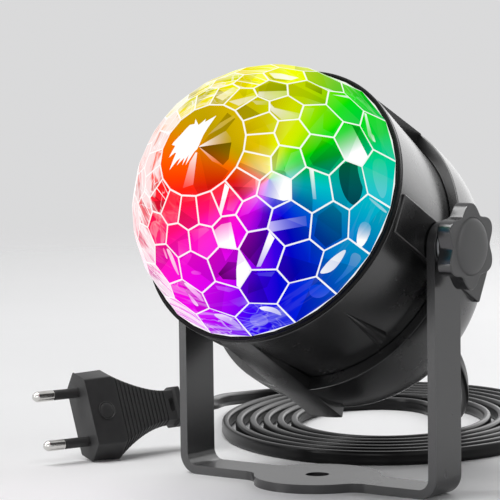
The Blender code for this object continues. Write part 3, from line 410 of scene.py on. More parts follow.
plug = {"place": (-103.4, -5.6), "yaw": 251.2, "lean": 23.0, "halfWidth": 17.65, "flatHalf": 12.9,
        "halfThick": 6.85, "block": 11.8, "length": 42.0, "collar": 2.9, "collarRise": 0.9,
        "ribs": 13, "ribFront": 13.3, "ribBack": 35.7, "ribDepth": 0.5, "neckWidth": 7.0,
        "neckThick": 4.6, "flatShare": 0.73, "round": 0.55, "edge": 0.4, "ease": 1.7,
        "slot": (2.0, 30, 5.6), "slotRound": 0.9, "slotBehind": 1.6, "bore": 1.35, "core": 1.2,
        "dimpleRadius": 3.5, "dimplePlace": 7.0, "dimpleRise": 0.6,
        "pinSpacing": 19.0, "pinLength": 19.0, "pinRadius": 2.0, "sleeveRadius": 1.9, "sleeve": 10.0}
ribShape = ((0.0, 0.0), (0.05, 0.8), (0.12, 1.0), (0.24, 1.0), (0.31, 0.8), (0.36, 0.0))     # (along, deep)


def plugCentre():
    return Vector((*plug["place"], plug["halfWidth"] * math.cos(math.radians(plug["lean"]))))


def throughPoints(points, spacing):
    # A smooth curve through given points, read off at an even spacing
    padded = [2 * points[0] - points[1]] + points + [2 * points[-1] - points[-2]]
    fine = []
    for a, b, c, d in zip(padded, padded[1:], padded[2:], padded[3:]):
        for t in (i / 20 for i in range(20)):
            fine.append(0.5 * (2 * b + (c - a) * t + (2 * a - 5 * b + 4 * c - d) * t ** 2
                               + (3 * b - a - 3 * c + d) * t ** 3))
    fine.append(points[-1])
    lengths = [0.0]
    for first, second in zip(fine, fine[1:]):
        lengths.append(lengths[-1] + (second - first).length)
    count = max(2, round(lengths[-1] / spacing))
    route = []
    index = 0
    for i in range(count + 1):
        target = lengths[-1] * i / count
        while index < len(fine) - 2 and lengths[index + 1] < target:
            index += 1
        span = lengths[index + 1] - lengths[index]
        route.append(fine[index].lerp(fine[index + 1], (target - lengths[index]) / span))
    return route


def coilRoute():
    turn = math.radians(lead["coilAxis"])
    major = Vector((math.cos(turn), math.sin(turn), 0))
    minor = Vector((major.y, -major.x, 0))
    centre = Vector((*lead["coilCentre"], lead["width"] / 2))
    count = round(lead["coilSweep"] / 360 * 160)
    route = []
    for share in (i / count for i in range(count + 1)):
        angle = math.radians(lead["coilStart"] + lead["coilSweep"] * share)
        long, short = (outer + share * (inner - outer)
                       for outer, inner in zip(lead["coilOuter"], lead["coilInner"]))
        route.append(centre + major * long * math.cos(angle) + minor * short * math.sin(angle))
    return route


def leadSection():
    # Two round cores under one flat sheath, with a faint groove between them
    ring = []
    (slackX, slackY), (powerX, powerY) = lead["slack"], lead["squareness"]
    for a in (2 * math.pi * k / lead["points"] for k in range(lead["points"])):
        x = (lead["thick"] / 2 - slackX) * math.copysign(abs(math.cos(a)) ** powerX, math.cos(a))
        y = (lead["width"] / 2 - slackY) * math.copysign(abs(math.sin(a)) ** powerY, math.sin(a))
        dent = lead["groove"] * math.exp(-(y / lead["grooveHalf"]) ** 2)
        ring.append((x - math.copysign(dent, x) if abs(x) > 0.5 else x, y))
    return ring


def makeLead(finish):
    coil = coilRoute()
    startWay = (coil[1] - coil[0]).normalized()
    endWay = (coil[-1] - coil[-2]).normalized()
    yaw, lean = math.radians(plug["yaw"]), math.radians(plug["lean"])
    pinsWay = Vector((math.cos(yaw), math.sin(yaw), 0))
    plugUp = Vector((math.sin(yaw) * math.sin(lean), -math.cos(yaw) * math.sin(lean), math.cos(lean)))
    leave = plugCentre() - pinsWay * (plug["length"] - lead["leave"])
    outward = [leave, leave - pinsWay * (lead["width"] + lead["leave"]), *map(Vector, lead["toPlug"]),
               coil[0] - startWay * lead["width"], coil[0]]
    inward = [coil[-1], coil[-1] + endWay * lead["width"], *map(Vector, lead["toHead"]),
              pivotPoint + domeAxis * (lead["glandTip"] - lead["width"]),
              pivotPoint + domeAxis * (lead["glandTip"] + lead["inGland"])]
    route = throughPoints(outward, lead["ring"])[:-1] + coil + throughPoints(inward, lead["ring"])[1:]
    rings = []
    for i, point in enumerate(route):
        along = (route[min(i + 1, len(route) - 1)] - route[max(i - 1, 0)]).normalized()
        up = plugUp.lerp(Vector((0, 0, 1)), min(1.0, i / lead["settle"]))     # leaves the plug at its lean
        side = along.cross(up).normalized()
        up = side.cross(along)
        rings.append([point + side * x + up * y for x, y in leadSection()])
    route.reverse()
    length = sum((b - a).length for a, b in zip(route, route[1:])) * mm
    thing = addPiece("leadCord", [loft(rings)], standFrame, finish, None,
                     ("cord_coil", "cord_lead", "cord_rise"), sharp=60, weighted=False)
    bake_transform(thing)
    print(f"lead: {length:.3f} m")
    return thing, [standFrame @ point for point in route], length


cordFinish = grainFinish("cordSheath", (0.003, 0.003, 0.0033), 0.3, 2600, 0.000015, patch=90, lift=1.2,
                         specular=0.2)
leadObject, leadPath, leadLength = makeLead(cordFinish)


# The plug

def plugSection(back, halfWidth, flatHalf, halfThick, corner):
    # A long six-sided section with rounded corners
    half = [(0, halfWidth), (halfThick, flatHalf), (halfThick, -flatHalf)]
    points = [Vector(point) for point in half + [(-x, -y) for x, y in half]]
    return [Vector((-back, spot.x, spot.y)) for i, here in enumerate(points)
            for spot in roundCorner(points[i - 1], here, points[(i + 1) % 6], corner)]


def plugNeck(back):
    share = min(1.0, max(0.0, (back - plug["block"]) / (plug["ribBack"] - plug["block"])))
    ease = 1 - (1 - share) ** plug["ease"]
    halfWidth = plug["halfWidth"] + ease * (plug["neckWidth"] - plug["halfWidth"])
    halfThick = plug["halfThick"] + share * (plug["neckThick"] - plug["halfThick"])
    return halfWidth, halfWidth * (plug["flatShare"] + 0.1 * share), halfThick


def plugBody():
    rings = []

    def ring(back, sizes, inset=0.0):
        width, flat, thick = sizes
        rings.append(plugSection(back, width - inset, flat - inset * 0.6, thick - inset, plug["round"]))

    sizes, edge = (plug["halfWidth"], plug["flatHalf"], plug["halfThick"]), plug["edge"]
    length, rise = plug["length"], plug["collarRise"]
    for k, (s, c) in reversed(list(enumerate(quarter(4)))):     # the block widens a little from k = 0
        ring(edge * (1 - s), sizes, edge * (1 - c) if k else edge)
    ring(plug["block"], sizes)
    pitch = (plug["ribBack"] - plug["ribFront"]) / plug["ribs"]
    ring(plug["ribFront"] - edge, plugNeck(plug["ribFront"] - edge))
    for i in range(plug["ribs"]):
        start = plug["ribFront"] + i * pitch
        for share, depth in ribShape:
            back = start + share * pitch
            ring(back, plugNeck(back), depth * plug["ribDepth"])
    collar, neck = length - plug["collar"], plugNeck(plug["ribBack"])
    for back, grow, inset in ((plug["ribBack"], 0, 0), (collar - 0.35, 0, 0), (collar, 0.3, 0),
                              (collar, rise - edge, 0), (collar + edge, rise, 0), (length - 0.5, rise, 0),
                              (length, rise, 0.5)):
        ring(back, [size + grow for size in neck], inset)
    slot = bevelled(block(plug["slot"]), plug["slotRound"], 4, 60)
    slot = shifted(slot, -(plug["ribBack"] + plug["slotBehind"]))
    return cut(loft(rings), slot)


def makePlug(vinyl, metal):
    rise, wide, high = plug["halfThick"], plug["dimpleRadius"], plug["dimpleRise"]
    profile = [(0, rise - 2), (wide, rise - 2), (wide, rise + 0.2), (wide - 0.25, rise + 0.3),
               (wide - 0.5, rise + 0.05)]
    profile += [((wide - 0.55) * c, rise + 0.02 + (high - 0.02) * s) for s, c in quarter(10)]
    parts = [plugBody()]
    for turn in (0, math.pi):
        dimple = moved(turned(profile, 64), Matrix.Rotation(turn, 4, "X"))
        parts.append(shifted(moved(dimple, Matrix.Rotation(-math.pi / 2, 4, "X")), -plug["dimplePlace"]))
    place = (standFrame @ Matrix.Translation(plugCentre())
             @ Matrix.Rotation(math.radians(plug["yaw"]), 4, "Z")
             @ Matrix.Rotation(math.radians(plug["lean"]), 4, "X"))
    pieces = [addPiece("plugBody", parts, place, vinyl, "stand", ("plug_body",),
                       sharp=40, weighted=False)]
    radius, length, core = plug["pinRadius"], plug["pinLength"], plug["core"]
    bore, sleeve, end = plug["bore"], plug["sleeveRadius"], plug["sleeve"] + 0.6
    kinds = (("pin", "plug_pin", metal, "nickel", 0.5,
              ((0, -1), (core, -1), (core, end), (radius, end), (radius, length - 1.5), (1.0, length),
               (0, length))),
             ("pinSleeve", "pin_sleeve", vinyl, "black_plug_vinyl", 0.25,
              ((bore, 0.3), (sleeve, 0.3), (sleeve, end - 0.3), (bore, end - 0.3))))
    for up, name in ((1, "upper"), (-1, "lower")):
        spot = place @ Matrix.Translation((0, 0, up * plug["pinSpacing"] / 2))
        for kind, node, finish, slot, edge, outline in kinds:
            pieces.append(addPiece(f"{kind}.{name}", [alongX(turned(rounded(outline, edge), 48), 1)], spot,
                                   finish, "stand", (f"{node}_{name}",)))
    return pieces


vinylFinish = grainFinish("plugVinyl", (0.034, 0.034, 0.0345), 0.46, 2200, 0.00003, patch=110, lift=1.15,
                          specular=0.3)
nickelFinish = grainFinish("pinNickel", (0.62, 0.61, 0.59), 0.2, 1500, 0.000004, patch=260, lift=1.15,
                           metal=1.0)
plugPieces = makePlug(vinylFinish, nickelFinish)
print("lead and plug ready")


# The bracket

bracket = {"width": 110.0, "strip": 16.2, "thick": 3.2, "bend": 4.1, "footRadius": 22.5, "fillet": 8.0,
           "hole": 4.2, "pivotHole": 2.9, "pivotHeight": 86.8, "edge": 0.45, "tip": 0.12}


def bracketStations():
    # Half of the strip, from the foot's middle to the right arm's tip
    half, foot, fillet = bracket["strip"] / 2, bracket["footRadius"], bracket["fillet"]
    outerBend = bracket["bend"] + bracket["thick"]
    filletX = math.sqrt((foot + fillet) ** 2 - (half + fillet) ** 2)
    tangentX = filletX * foot / (foot + fillet)

    def halfWidth(x):
        if x <= tangentX:
            return math.sqrt(foot ** 2 - x ** 2)
        return half + fillet - math.sqrt(fillet ** 2 - (filletX - x) ** 2) if x < filletX else half

    top = math.asin(tangentX / foot)
    places = [foot * math.sin(top * i / 24) for i in range(25)]
    places += [tangentX + (filletX - tangentX) * (i + 1) / 10 for i in range(10)]
    stations = [((x, 0), (0, 1), halfWidth(x)) for x in places]
    stations += [((bracket["width"] / 2 - outerBend + outerBend * s, outerBend * (1 - c)), (-s, c), half)
                 for s, c in quarter(16)]
    stations += [((bracket["width"] / 2, bracket["pivotHeight"] + half * s), (-1, 0),
                  max(half * c, bracket["tip"])) for s, c in quarter(20)]
    return stations


def makeBracket(finish):
    half = bracketStations()
    mirrored = [((-x, z), (-nx, nz), width) for (x, z), (nx, nz), width in reversed(half[1:])]
    rings = []
    for (x, z), (nx, nz), width in mirrored + half:
        inX, inZ = x + nx * bracket["thick"], z + nz * bracket["thick"]
        rings.append([Vector((x, -width, z)), Vector((x, width, z)),
                      Vector((inX, width, inZ)), Vector((inX, -width, inZ))])
    strip = cut(loft(rings), turnedBy(rod(bracket["hole"], -2, 6, 72), 1.7))
    pivotTool = alongX(turnedBy(rod(bracket["pivotHole"], -60, 60, 48), 1.7), 1)
    strip = cut(strip, shifted(pivotTool, z=bracket["pivotHeight"]))
    bmesh.ops.dissolve_limit(strip, angle_limit=math.radians(0.3), verts=strip.verts, edges=strip.edges)
    addPiece("bracket", [bevelled(strip, bracket["edge"], 3, 50)], standFrame, finish, "stand",
             ("u_bracket",))


makeBracket(grainFinish("darkGreyPaint", (0.013, 0.013, 0.0142), 0.27, 1100, 0.0000002, lift=1.04,
                        specular=0.9, roughVary=0.02, roughFine=0.0))
print("bracket ready")


# The lamp head's shells

shell = {"rimHeight": 28.2, "rimRadius": 51.0, "rimWall": 1.8, "backHeight": -10.0, "backRadius": 47.7,
         "wall": 2.0, "spigot": 4.0, "edge": 0.45, "railHalf": 7.0, "railFace": 51.3, "railFront": 26.5,
         "railBack": -34.0, "railEdge": 0.5, "recess": 6.2, "recessFloor": 50.2,
         "wedgeAngle": 43.6, "wedgeSpan": 3.4, "wedgeFront": 23.0, "wedgeBack": -4.5, "wedgeRise": 2.6,
         "wedgeRoot": 0.4, "wedgePower": 0.6}
bowl = {"radius": 51.2, "depth": 49.0, "front": -11.2, "oval": 1.031, "power": 2.7, "wall": 2.3,
        "mouth": 3.2, "gap": 0.3, "panelHalf": 27.0, "panelFront": 27.0, "panelThick": 0.7, "keelBack": -35.0,
        "keelFace": 53.8, "keelStep": 52.9, "keelHalf": 7.7, "keelDeep": 9.2, "screwCircle": 41.5,
        "screwSink": 3.3, "screwSeat": -19.0, "screwHole": 1.8, "pillar": 4.6, "gland": 4.3,
        "micPlace": 14.0, "micHole": 1.0, "screwAngles": (30, 150, 270), "below": -62, "inside": -55}
spigotEnd = shell["backHeight"] - shell["spigot"]


def coneRadius(height):
    share = (height - shell["backHeight"]) / (shell["rimHeight"] - shell["backHeight"])
    return shell["backRadius"] + share * (shell["rimRadius"] - shell["backRadius"])


def flatRail(stations, degrees, bevelFrom):
    half = shell["railHalf"]
    rings = [[Vector((inner, -half, z)), Vector((outer, -half, z)), Vector((outer, half, z)),
              Vector((inner, half, z))] for z, inner, outer in stations]
    return bevelled(turnedBy(loft(rings), degrees), shell["railEdge"], 3, bevelFrom)


def arcPanel(stations, halfDeg, degrees, steps=40):
    turns = [math.radians(halfDeg * (2 * i / steps - 1)) for i in range(steps + 1)]
    ways = [(math.cos(a), math.sin(a)) for a in turns]
    return turnedBy(loft([[Vector((outer * c, outer * s, z)) for c, s in ways]
                          + [Vector((inner * c, inner * s, z)) for c, s in reversed(ways)]
                          for z, inner, outer in stations]), degrees)


def wedgeRib(degrees):
    # Half a cone lying on the shell, from a point at the front to its full round end at the back
    rings = []
    root = shell["wedgeRoot"]
    for share in (i / 12 for i in range(13)):
        z = shell["wedgeFront"] + share * (shell["wedgeBack"] - shell["wedgeFront"])
        base = coneRadius(z)
        half = math.radians(shell["wedgeSpan"]) * max(share, 0.02)
        spots = []
        for side in (2 * k / 16 - 1 for k in range(17)):
            rise = (shell["wedgeRise"] * share + root) * (1 - side ** 2) ** shell["wedgePower"]
            spots.append((half * side, base - root + rise))
        spots += [(half * (1 - 2 * k / 16), base - 1) for k in range(17)]
        rings.append([Vector((radius * math.cos(a), radius * math.sin(a), z)) for a, radius in spots])
    return turnedBy(loft(rings), degrees)


def makeFrontShell(finish):
    innerRim = shell["rimRadius"] - shell["rimWall"]
    innerBack = shell["backRadius"] - shell["wall"]
    profile = [(innerRim, shell["rimHeight"]), (shell["rimRadius"], shell["rimHeight"]),
               (shell["backRadius"], shell["backHeight"]), (shell["backRadius"], spigotEnd),
               (innerBack, spigotEnd), (innerBack, shell["backHeight"])]
    parts = [turned(rounded(profile, shell["edge"]), 192)]
    stations = [(z, coneRadius(z) - 1, shell["railFace"]) for z in (shell["backHeight"], shell["railFront"])]
    for side, degrees in ((1, 0), (-1, 180)):
        recess = turnedBy(rod(shell["recess"], shell["recessFloor"], 60, 72), 1.3)
        parts.append(cut(flatRail(stations, degrees, 30), alongX(recess, side)))
    parts += [wedgeRib(-shell["wedgeAngle"]), wedgeRib(shell["wedgeAngle"] - 180)]
    addPiece("frontShell", parts, headFrame, finish, "lamp_head", ("front_shell",))


def bowlProfile(inset, steps):
    radius, depth = bowl["radius"] - inset, bowl["depth"] - inset
    power = 2 / bowl["power"]
    points = [(radius * c ** power, bowl["front"] - depth * s ** power) for s, c in quarter(steps)]
    return points[:-1] + [(0, points[-1][1])]


def makeRearShell(finish):
    front, wide, below = bowl["front"], bowl["radius"], bowl["below"]
    mouth = shell["backRadius"] + bowl["gap"]
    edge = [(0, front), (mouth, front), (wide - 0.5, front), (wide - 0.15, front - 0.15), (wide, front - 0.5)]
    solid = turned(edge + [p for p in bowlProfile(0, 56) if p[1] < front - 1.2], 160, bowl["oval"])
    buried = front - bowl["mouth"]
    inner = bowlProfile(bowl["wall"], 24)
    hollow = turned([(0, front + 1), (mouth, front + 1), (mouth, buried), (inner[0][0], buried)]
                    + [p for p in inner if p[1] < buried - 0.3], 96)
    for degrees in bowl["screwAngles"]:
        pillar = turnedBy(rod(bowl["pillar"], below, spigotEnd, 40), 2.0)
        hollow = cut(hollow, turnedBy(pillar, degrees, bowl["screwCircle"]))
    solid = cut(solid, hollow)
    sink = [(0, below), (bowl["screwSink"], below), (bowl["screwSink"], bowl["screwSeat"]),
            (bowl["screwHole"], bowl["screwSeat"]), (bowl["screwHole"], spigotEnd + 1), (0, spigotEnd + 1)]
    for degrees in bowl["screwAngles"]:
        solid = cut(solid, turnedBy(turnedBy(turned(sink, 56), 4.0), degrees, bowl["screwCircle"]))
    for place, radius in ((0, bowl["gland"]), (bowl["micPlace"], bowl["micHole"])):
        solid = cut(solid, shifted(turnedBy(rod(radius, below, bowl["inside"], 40), 1.3), y=place))
    face, cone = wide * bowl["oval"], coneRadius(bowl["panelFront"])
    deep, lip = wide - bowl["keelDeep"], (bowl["panelFront"], cone - bowl["panelThick"], cone + 0.02)
    panel = [(buried, face - 2.3, face - 1.15), (front, mouth, face), lip]
    keel = [(bowl["keelBack"], deep, bowl["keelFace"]), (buried, wide - bowl["wall"], bowl["keelStep"]),
            (front, mouth, bowl["keelStep"]), lip]
    rail = [(shell["railBack"], deep, shell["railFace"]), (front, wide - bowl["wall"], shell["railFace"])]
    parts = [solid, bevelled(arcPanel(panel, bowl["panelHalf"], 90), 0.3, 2, 25),
             bevelled(arcPanel(keel, bowl["keelHalf"], 270, 16), 0.35, 3, 25),
             flatRail(rail, 0, 25), flatRail(rail, 180, 25)]
    addPiece("rearShell", parts, headFrame, finish, "lamp_head", ("rear_shell",),
             sharp=28)


shellFinish = grainFinish("shellPlastic", (0.006, 0.006, 0.0063), 0.27, 2300, 0.000002, patch=55, lift=1.15,
                          specular=0.8, roughFine=0.0)
makeFrontShell(shellFinish)
makeRearShell(shellFinish)
print("shells ready")


# The bezel ring round the dome

bezel = {"low": 28.5, "rise": 1.5, "step": 0.7, "inner": 49.95, "outer": 51.0, "lipInner": 48.1,
         "lipThick": 0.8, "lipDepth": 2.0, "edge": 0.35}


def makeBezel(finish):
    low, lip = bezel["low"], bezel["lipInner"]
    profile = [(lip, low - bezel["lipDepth"]), (lip + bezel["lipThick"], low - bezel["lipDepth"]),
               (lip + bezel["lipThick"], low), (bezel["outer"], low),
               (bezel["outer"], low + bezel["rise"]), (bezel["inner"], low + bezel["rise"]),
               (bezel["inner"], low + bezel["step"]), (lip, low + bezel["step"])]
    addPiece("bezelRing", [turned(rounded(profile, bezel["edge"]), 192)], headFrame, finish,
             "lamp_head", ("bezel_ring",))


trimFinish = grainFinish("glossTrim", (0.003, 0.003, 0.0033), 0.24, 1800, 0.000001, patch=70, specular=0.1)
makeBezel(trimFinish)
print("bezel ready")


# Clamp knobs and washers on the tilt axis

knob = {"face": 56.3, "hub": 8.0, "hubLength": 2.8, "lobes": 6, "tip": 14.8, "valley": 11.7,
        "thick": 5.8, "edge": 0.6, "cap": 9.6, "capRise": 1.5, "bore": 2.8, "boreDepth": 5.6,
        "lobePower": 0.85, "capPower": 0.6, "hubEdge": 0.4, "groove": (0.55, 0.25)}
washer = {"face": 55.15, "radius": 7.2, "bore": 2.9, "thick": 1.0, "edge": 0.2}


def lobeTree():
    # Draws the rim of a round knob in between its lobes
    tree = Shape("lobes", Lobes=6.0, Depth=3.0, Inner=10.0, Outer=14.0, Power=1.0)
    given = tree.given
    spot = tree.node("ShaderNodeSeparateXYZ", None, [tree.node("GeometryNodeInputPosition")])
    x, y = spot.output("X"), spot.output("Y")
    radius = (x * x + y * y).maths("SQRT")
    wave = (y.maths("ARCTAN2", x) * given("Lobes")).maths("COSINE").maths("MULTIPLY_ADD", 0.5, 0.5)
    reach = tree.node("ShaderNodeMapRange", None,
                      {"Value": radius, "From Min": given("Inner"), "From Max": given("Outer")})
    draw = given("Depth") * (1.0 - wave.maths("POWER", given("Power"))) * reach
    share = draw / radius.maths("MAXIMUM", 0.001) * -1.0
    offset = tree.node("ShaderNodeCombineXYZ", None, [x * share, y * share, 0.0])
    return tree.finish(tree.node("GeometryNodeSetPosition", None,
                                 {"Geometry": given("Geometry"), "Offset": offset}))


def makeKnobs(finish, steel):
    lobes = lobeTree()
    face, hub, tip, cap, edge = (knob[key] for key in ("face", "hub", "tip", "cap", "edge"))
    back = face + knob["hubLength"]
    front = back + knob["thick"]
    profile = [(0, face + knob["boreDepth"]), (knob["bore"], face + knob["boreDepth"]), (knob["bore"], face),
               (hub - knob["hubEdge"], face), (hub, face + knob["hubEdge"]), (hub, back)]
    profile += [(tip - edge * (1 - s), back + edge * (1 - c)) for s, c in quarter(6)]
    profile += [(tip - edge * (1 - c), front - edge * (1 - s)) for s, c in quarter(6)]
    wide, deep = knob["groove"]
    profile += [(cap + wide, front), (cap + deep, front - deep), (cap, front)]
    profile += [(cap * c ** knob["capPower"], front + knob["capRise"] * s) for s, c in quarter(12)[1:-1]]
    profile.append((0, front + knob["capRise"]))
    low, high = washer["face"], washer["face"] + washer["thick"]
    ring = [(washer["bore"], low), (washer["radius"], low), (washer["radius"], high), (washer["bore"], high)]
    for side, name in ((1, "right"), (-1, "left")):
        body = grown(turned(profile, 216), lobes, Lobes=float(knob["lobes"]), Depth=tip - knob["valley"],
                     Inner=cap + 1.2, Outer=knob["valley"] + 1.0, Power=knob["lobePower"], Material=finish)
        addPiece(f"clampKnob.{name}", [alongX(body, side)], standFrame @ across, finish, f"knob_{name}",
                 (f"clamp_knob_{name}",), sharp=40)
        addPiece(f"plainWasher.{name}", [alongX(turned(rounded(ring, washer["edge"]), 96), side)],
                 standFrame @ across, steel, f"washer_{name}", (f"plain_washer_{name}",))


def makeKnobFinish():
    # The lobes' walls are polished, the outer face and its cap are satin
    paint = Paint("glossKnob", Specular_IOR_Level=1.0)
    fine = paint.noise(1500, 2.0, 0.6)
    spot = paint.node("ShaderNodeSeparateXYZ", None, [paint.spot()])
    front = (knob["face"] + knob["hubLength"] + knob["thick"]) * mm
    satin = spot.output("X").maths("ABSOLUTE").rise(front - 0.0004, front - 0.0001)
    paint.feed(Base_Color=paint.mix(satin, (0.008, 0.008, 0.009), (0.02, 0.02, 0.021)),
               Roughness=0.14 + satin * 0.36 + fine * 0.04, Normal=paint.bump(fine, 0.000003))
    return paint.material


steelFinish = grainFinish("zincSteel", (0.5, 0.51, 0.53), 0.34, 1700, 0.000008, patch=200, lift=1.15,
                          metal=1.0)
makeKnobs(makeKnobFinish(), steelFinish)
print("knobs ready")


# Rings of cross-head screws, each ring where its CAD screws are

screw = {"headRadius": 2.75, "headThick": 1.9, "recessLong": 3.0, "recessWide": 0.6, "recessDeep": 1.1,
         "threadPitch": 0.9, "threadDeep": 0.18, "shanks": {"housing": 1.4, "board": 1.4, "driver": 1.1}}


def ringTree():
    # Sets copies of a shape evenly round a circle, each turned a little differently
    tree = Shape("ring", Count=3, Radius=40.0, Start=0.0)
    given = tree.given

    def aboutZ(angle):
        return tree.node("ShaderNodeCombineXYZ", None, [0.0, 0.0, angle])

    spots = tree.node("GeometryNodeMeshCircle", None, {"Vertices": given("Count"), "Radius": given("Radius")})
    placed = tree.node("GeometryNodeTransform", None, {"Geometry": spots, "Rotation": aboutZ(given("Start"))})
    chance = tree.node("FunctionNodeRandomValue", {"data_type": "FLOAT"}, {2: 0.0, 3: 1.4, "Seed": 4})
    return tree.finish(tree.node("GeometryNodeInstanceOnPoints", None, {
        "Points": placed, "Instance": given("Geometry"), "Rotation": aboutZ(chance)}))


def headSpan(nodeName):
    # The lowest and highest corners of a CAD node in the lamp head's own frame, in mm
    back = headFrame.inverted()
    points = [back @ vert.co for vert in frame["nodes"][nodeName].data.vertices]
    return (Vector([min(point[k] for point in points) for k in range(3)]),
            Vector([max(point[k] for point in points) for k in range(3)]))


def crossScrew(shank, length):
    thick, head, pitch = screw["headThick"], screw["headRadius"], screw["threadPitch"]
    profile = [(0, -length), (shank * 0.3, -length), (shank * 0.8, -length + 1.2)]
    for z in (-length + 1.4 + k * pitch for k in range(int((length - 2.2) / pitch))):
        profile += [(shank - screw["threadDeep"], z), (shank, z + pitch * 0.45)]
    profile += [(shank, -0.6), (shank, 0), (head - 0.15, 0), (head, 0.15), (head, thick * 0.4)]
    profile += [(head * c ** 0.7, thick * (0.4 + 0.6 * s)) for s, c in quarter(6)[1:-1]]
    made = turned(profile + [(0, thick)], 24)
    long, wide, deep = screw["recessLong"], screw["recessWide"], 2 * screw["recessDeep"]
    for size in ((long, wide, deep), (wide, long, deep)):
        made = cut(made, block(size, thick))
    return made


def makeScrews(steel):
    ring = ringTree()
    for kind, shank in screw["shanks"].items():
        nodes = [f"{kind}_screw_{number}" for number in (1, 2, 3)]
        spans = [headSpan(node) for node in nodes]
        middles = [(low + high) / 2 for low, high in spans]
        low, high = spans[0]
        made = crossScrew(shank, high.z - low.z - screw["headThick"])
        if kind == "housing":     # these go in from the back
            made = moved(made, Matrix.Rotation(math.pi, 4, "X"))
            made = shifted(made, z=low.z + screw["headThick"])
        else:
            made = shifted(made, z=high.z - screw["headThick"])
        made = grown(made, ring, Count=3, Radius=sum(middle.xy.length for middle in middles) / 3,
                     Start=math.atan2(middles[0].y, middles[0].x), Material=steel)
        addPiece(f"{kind}Screws", [made], headFrame, steel, "lamp_head", nodes, sharp=30,
                 weighted=False)


makeScrews(steelFinish)
print("screws ready")


# The gland, a ribbed boot that tapers to the lead

gland = {"back": -60.2, "neck": 4.0, "neckLength": 5.0, "flange": 6.4, "flangeThick": 1.5,
         "root": (5.0, 4.2), "tip": (3.6, 2.6), "length": 18.8, "ribs": 5, "ribRise": 0.5, "plainFrom": 0.92}


def makeGland(finish):
    top = gland["back"] - 0.3
    low, flange = top - gland["flangeThick"], gland["flange"]
    profile = [(gland["neck"], top + gland["neckLength"]), (gland["neck"], top)]
    profile += rounded([(flange - 1, top), (flange, top), (flange, low), (flange - 1.2, low)], 0.3, False)
    rings = [circle(radius, height, 64) for radius, height in profile]
    for share in (i / 66 for i in range(67)):
        wave = 0.5 - 0.5 * math.cos(2 * math.pi * (share * (gland["ribs"] + 0.5)))
        rib = gland["ribRise"] * min(1.0, wave * 1.5) * (share < gland["plainFrom"])
        tall, wide = (root + share * (tip - root) + rib for root, tip in zip(gland["root"], gland["tip"]))
        rings.append(circle(wide, low - share * gland["length"], 64, tall / wide))
    addPiece("cordGland", [loft(rings)], headFrame, finish, "lamp_head",
             ("cord_gland",), sharp=50, weighted=False)


makeGland(cordFinish)
print("gland ready")


# The dome: rings of flat cells, each with its own painted highlights and painted shade

dome = {"radius": 49.6, "centre": 26.2, "edgeHeight": 30.1, "cells": 18, "tipShare": 0.985,
        "crown": 20.0, "low": (30.8, 41.0, 54.2, 67.0), "high": (33.0, 44.7, 59.3, 72.3),
        "seam": 0.3, "markSeam": (0.85, 0.07), "skirt": 47.6, "skirtBottom": 24.5, "wall": 2.2, "seed": 11,
        "halfShadeStrengths": (-0.22, -0.14, -0.1, 0.16), "hubLook": (1.0, -7.0, 0.0), "paintedHalfShade": 20,
        # cells with painted reflection streaks near the dome's outline
        "streaked": ((5, 11), (3, 10), (3, 10), (3, 10), (4, 10)),     # first and last cell in each ring
        "hueAt": (269, 179)}     # in pixels of the photograph's frame


def domePoint(polarDeg, azimuthDeg):
    polar, azimuth, radius = math.radians(polarDeg), math.radians(azimuthDeg), dome["radius"]
    return Vector((radius * math.sin(polar) * math.cos(azimuth), radius * math.sin(polar) * math.sin(azimuth),
                   dome["centre"] + radius * math.cos(polar)))


def domeCells():
    # Each ring of cells lies half a cell round from the one before it
    step, count = 360 / dome["cells"], dome["cells"]
    crown = [domePoint(dome["crown"], step * i) for i in range(count)]
    above = [[point] for point in crown]
    edgeDeg = math.degrees(math.acos((dome["edgeHeight"] - dome["centre"]) / dome["radius"]))
    shift = 0.0
    cells = []
    for ring, lowDeg in enumerate(dome["low"] + (edgeDeg,)):
        highDeg = (dome["high"] + (edgeDeg,))[ring]
        low = [domePoint(lowDeg, step * (i + shift)) for i in range(count)]
        high = [domePoint(highDeg, step * (i + shift + 0.5)) for i in range(count)]
        for i in range(count):
            j = (i + 1) % count
            cells.append((ring, i, [above[i][0], low[i], high[i], low[j], above[j][0]] + above[i][1:]))
        above = [[high[i], low[(i + 1) % count]] for i in range(count)]
        shift += 0.5
    return crown, cells
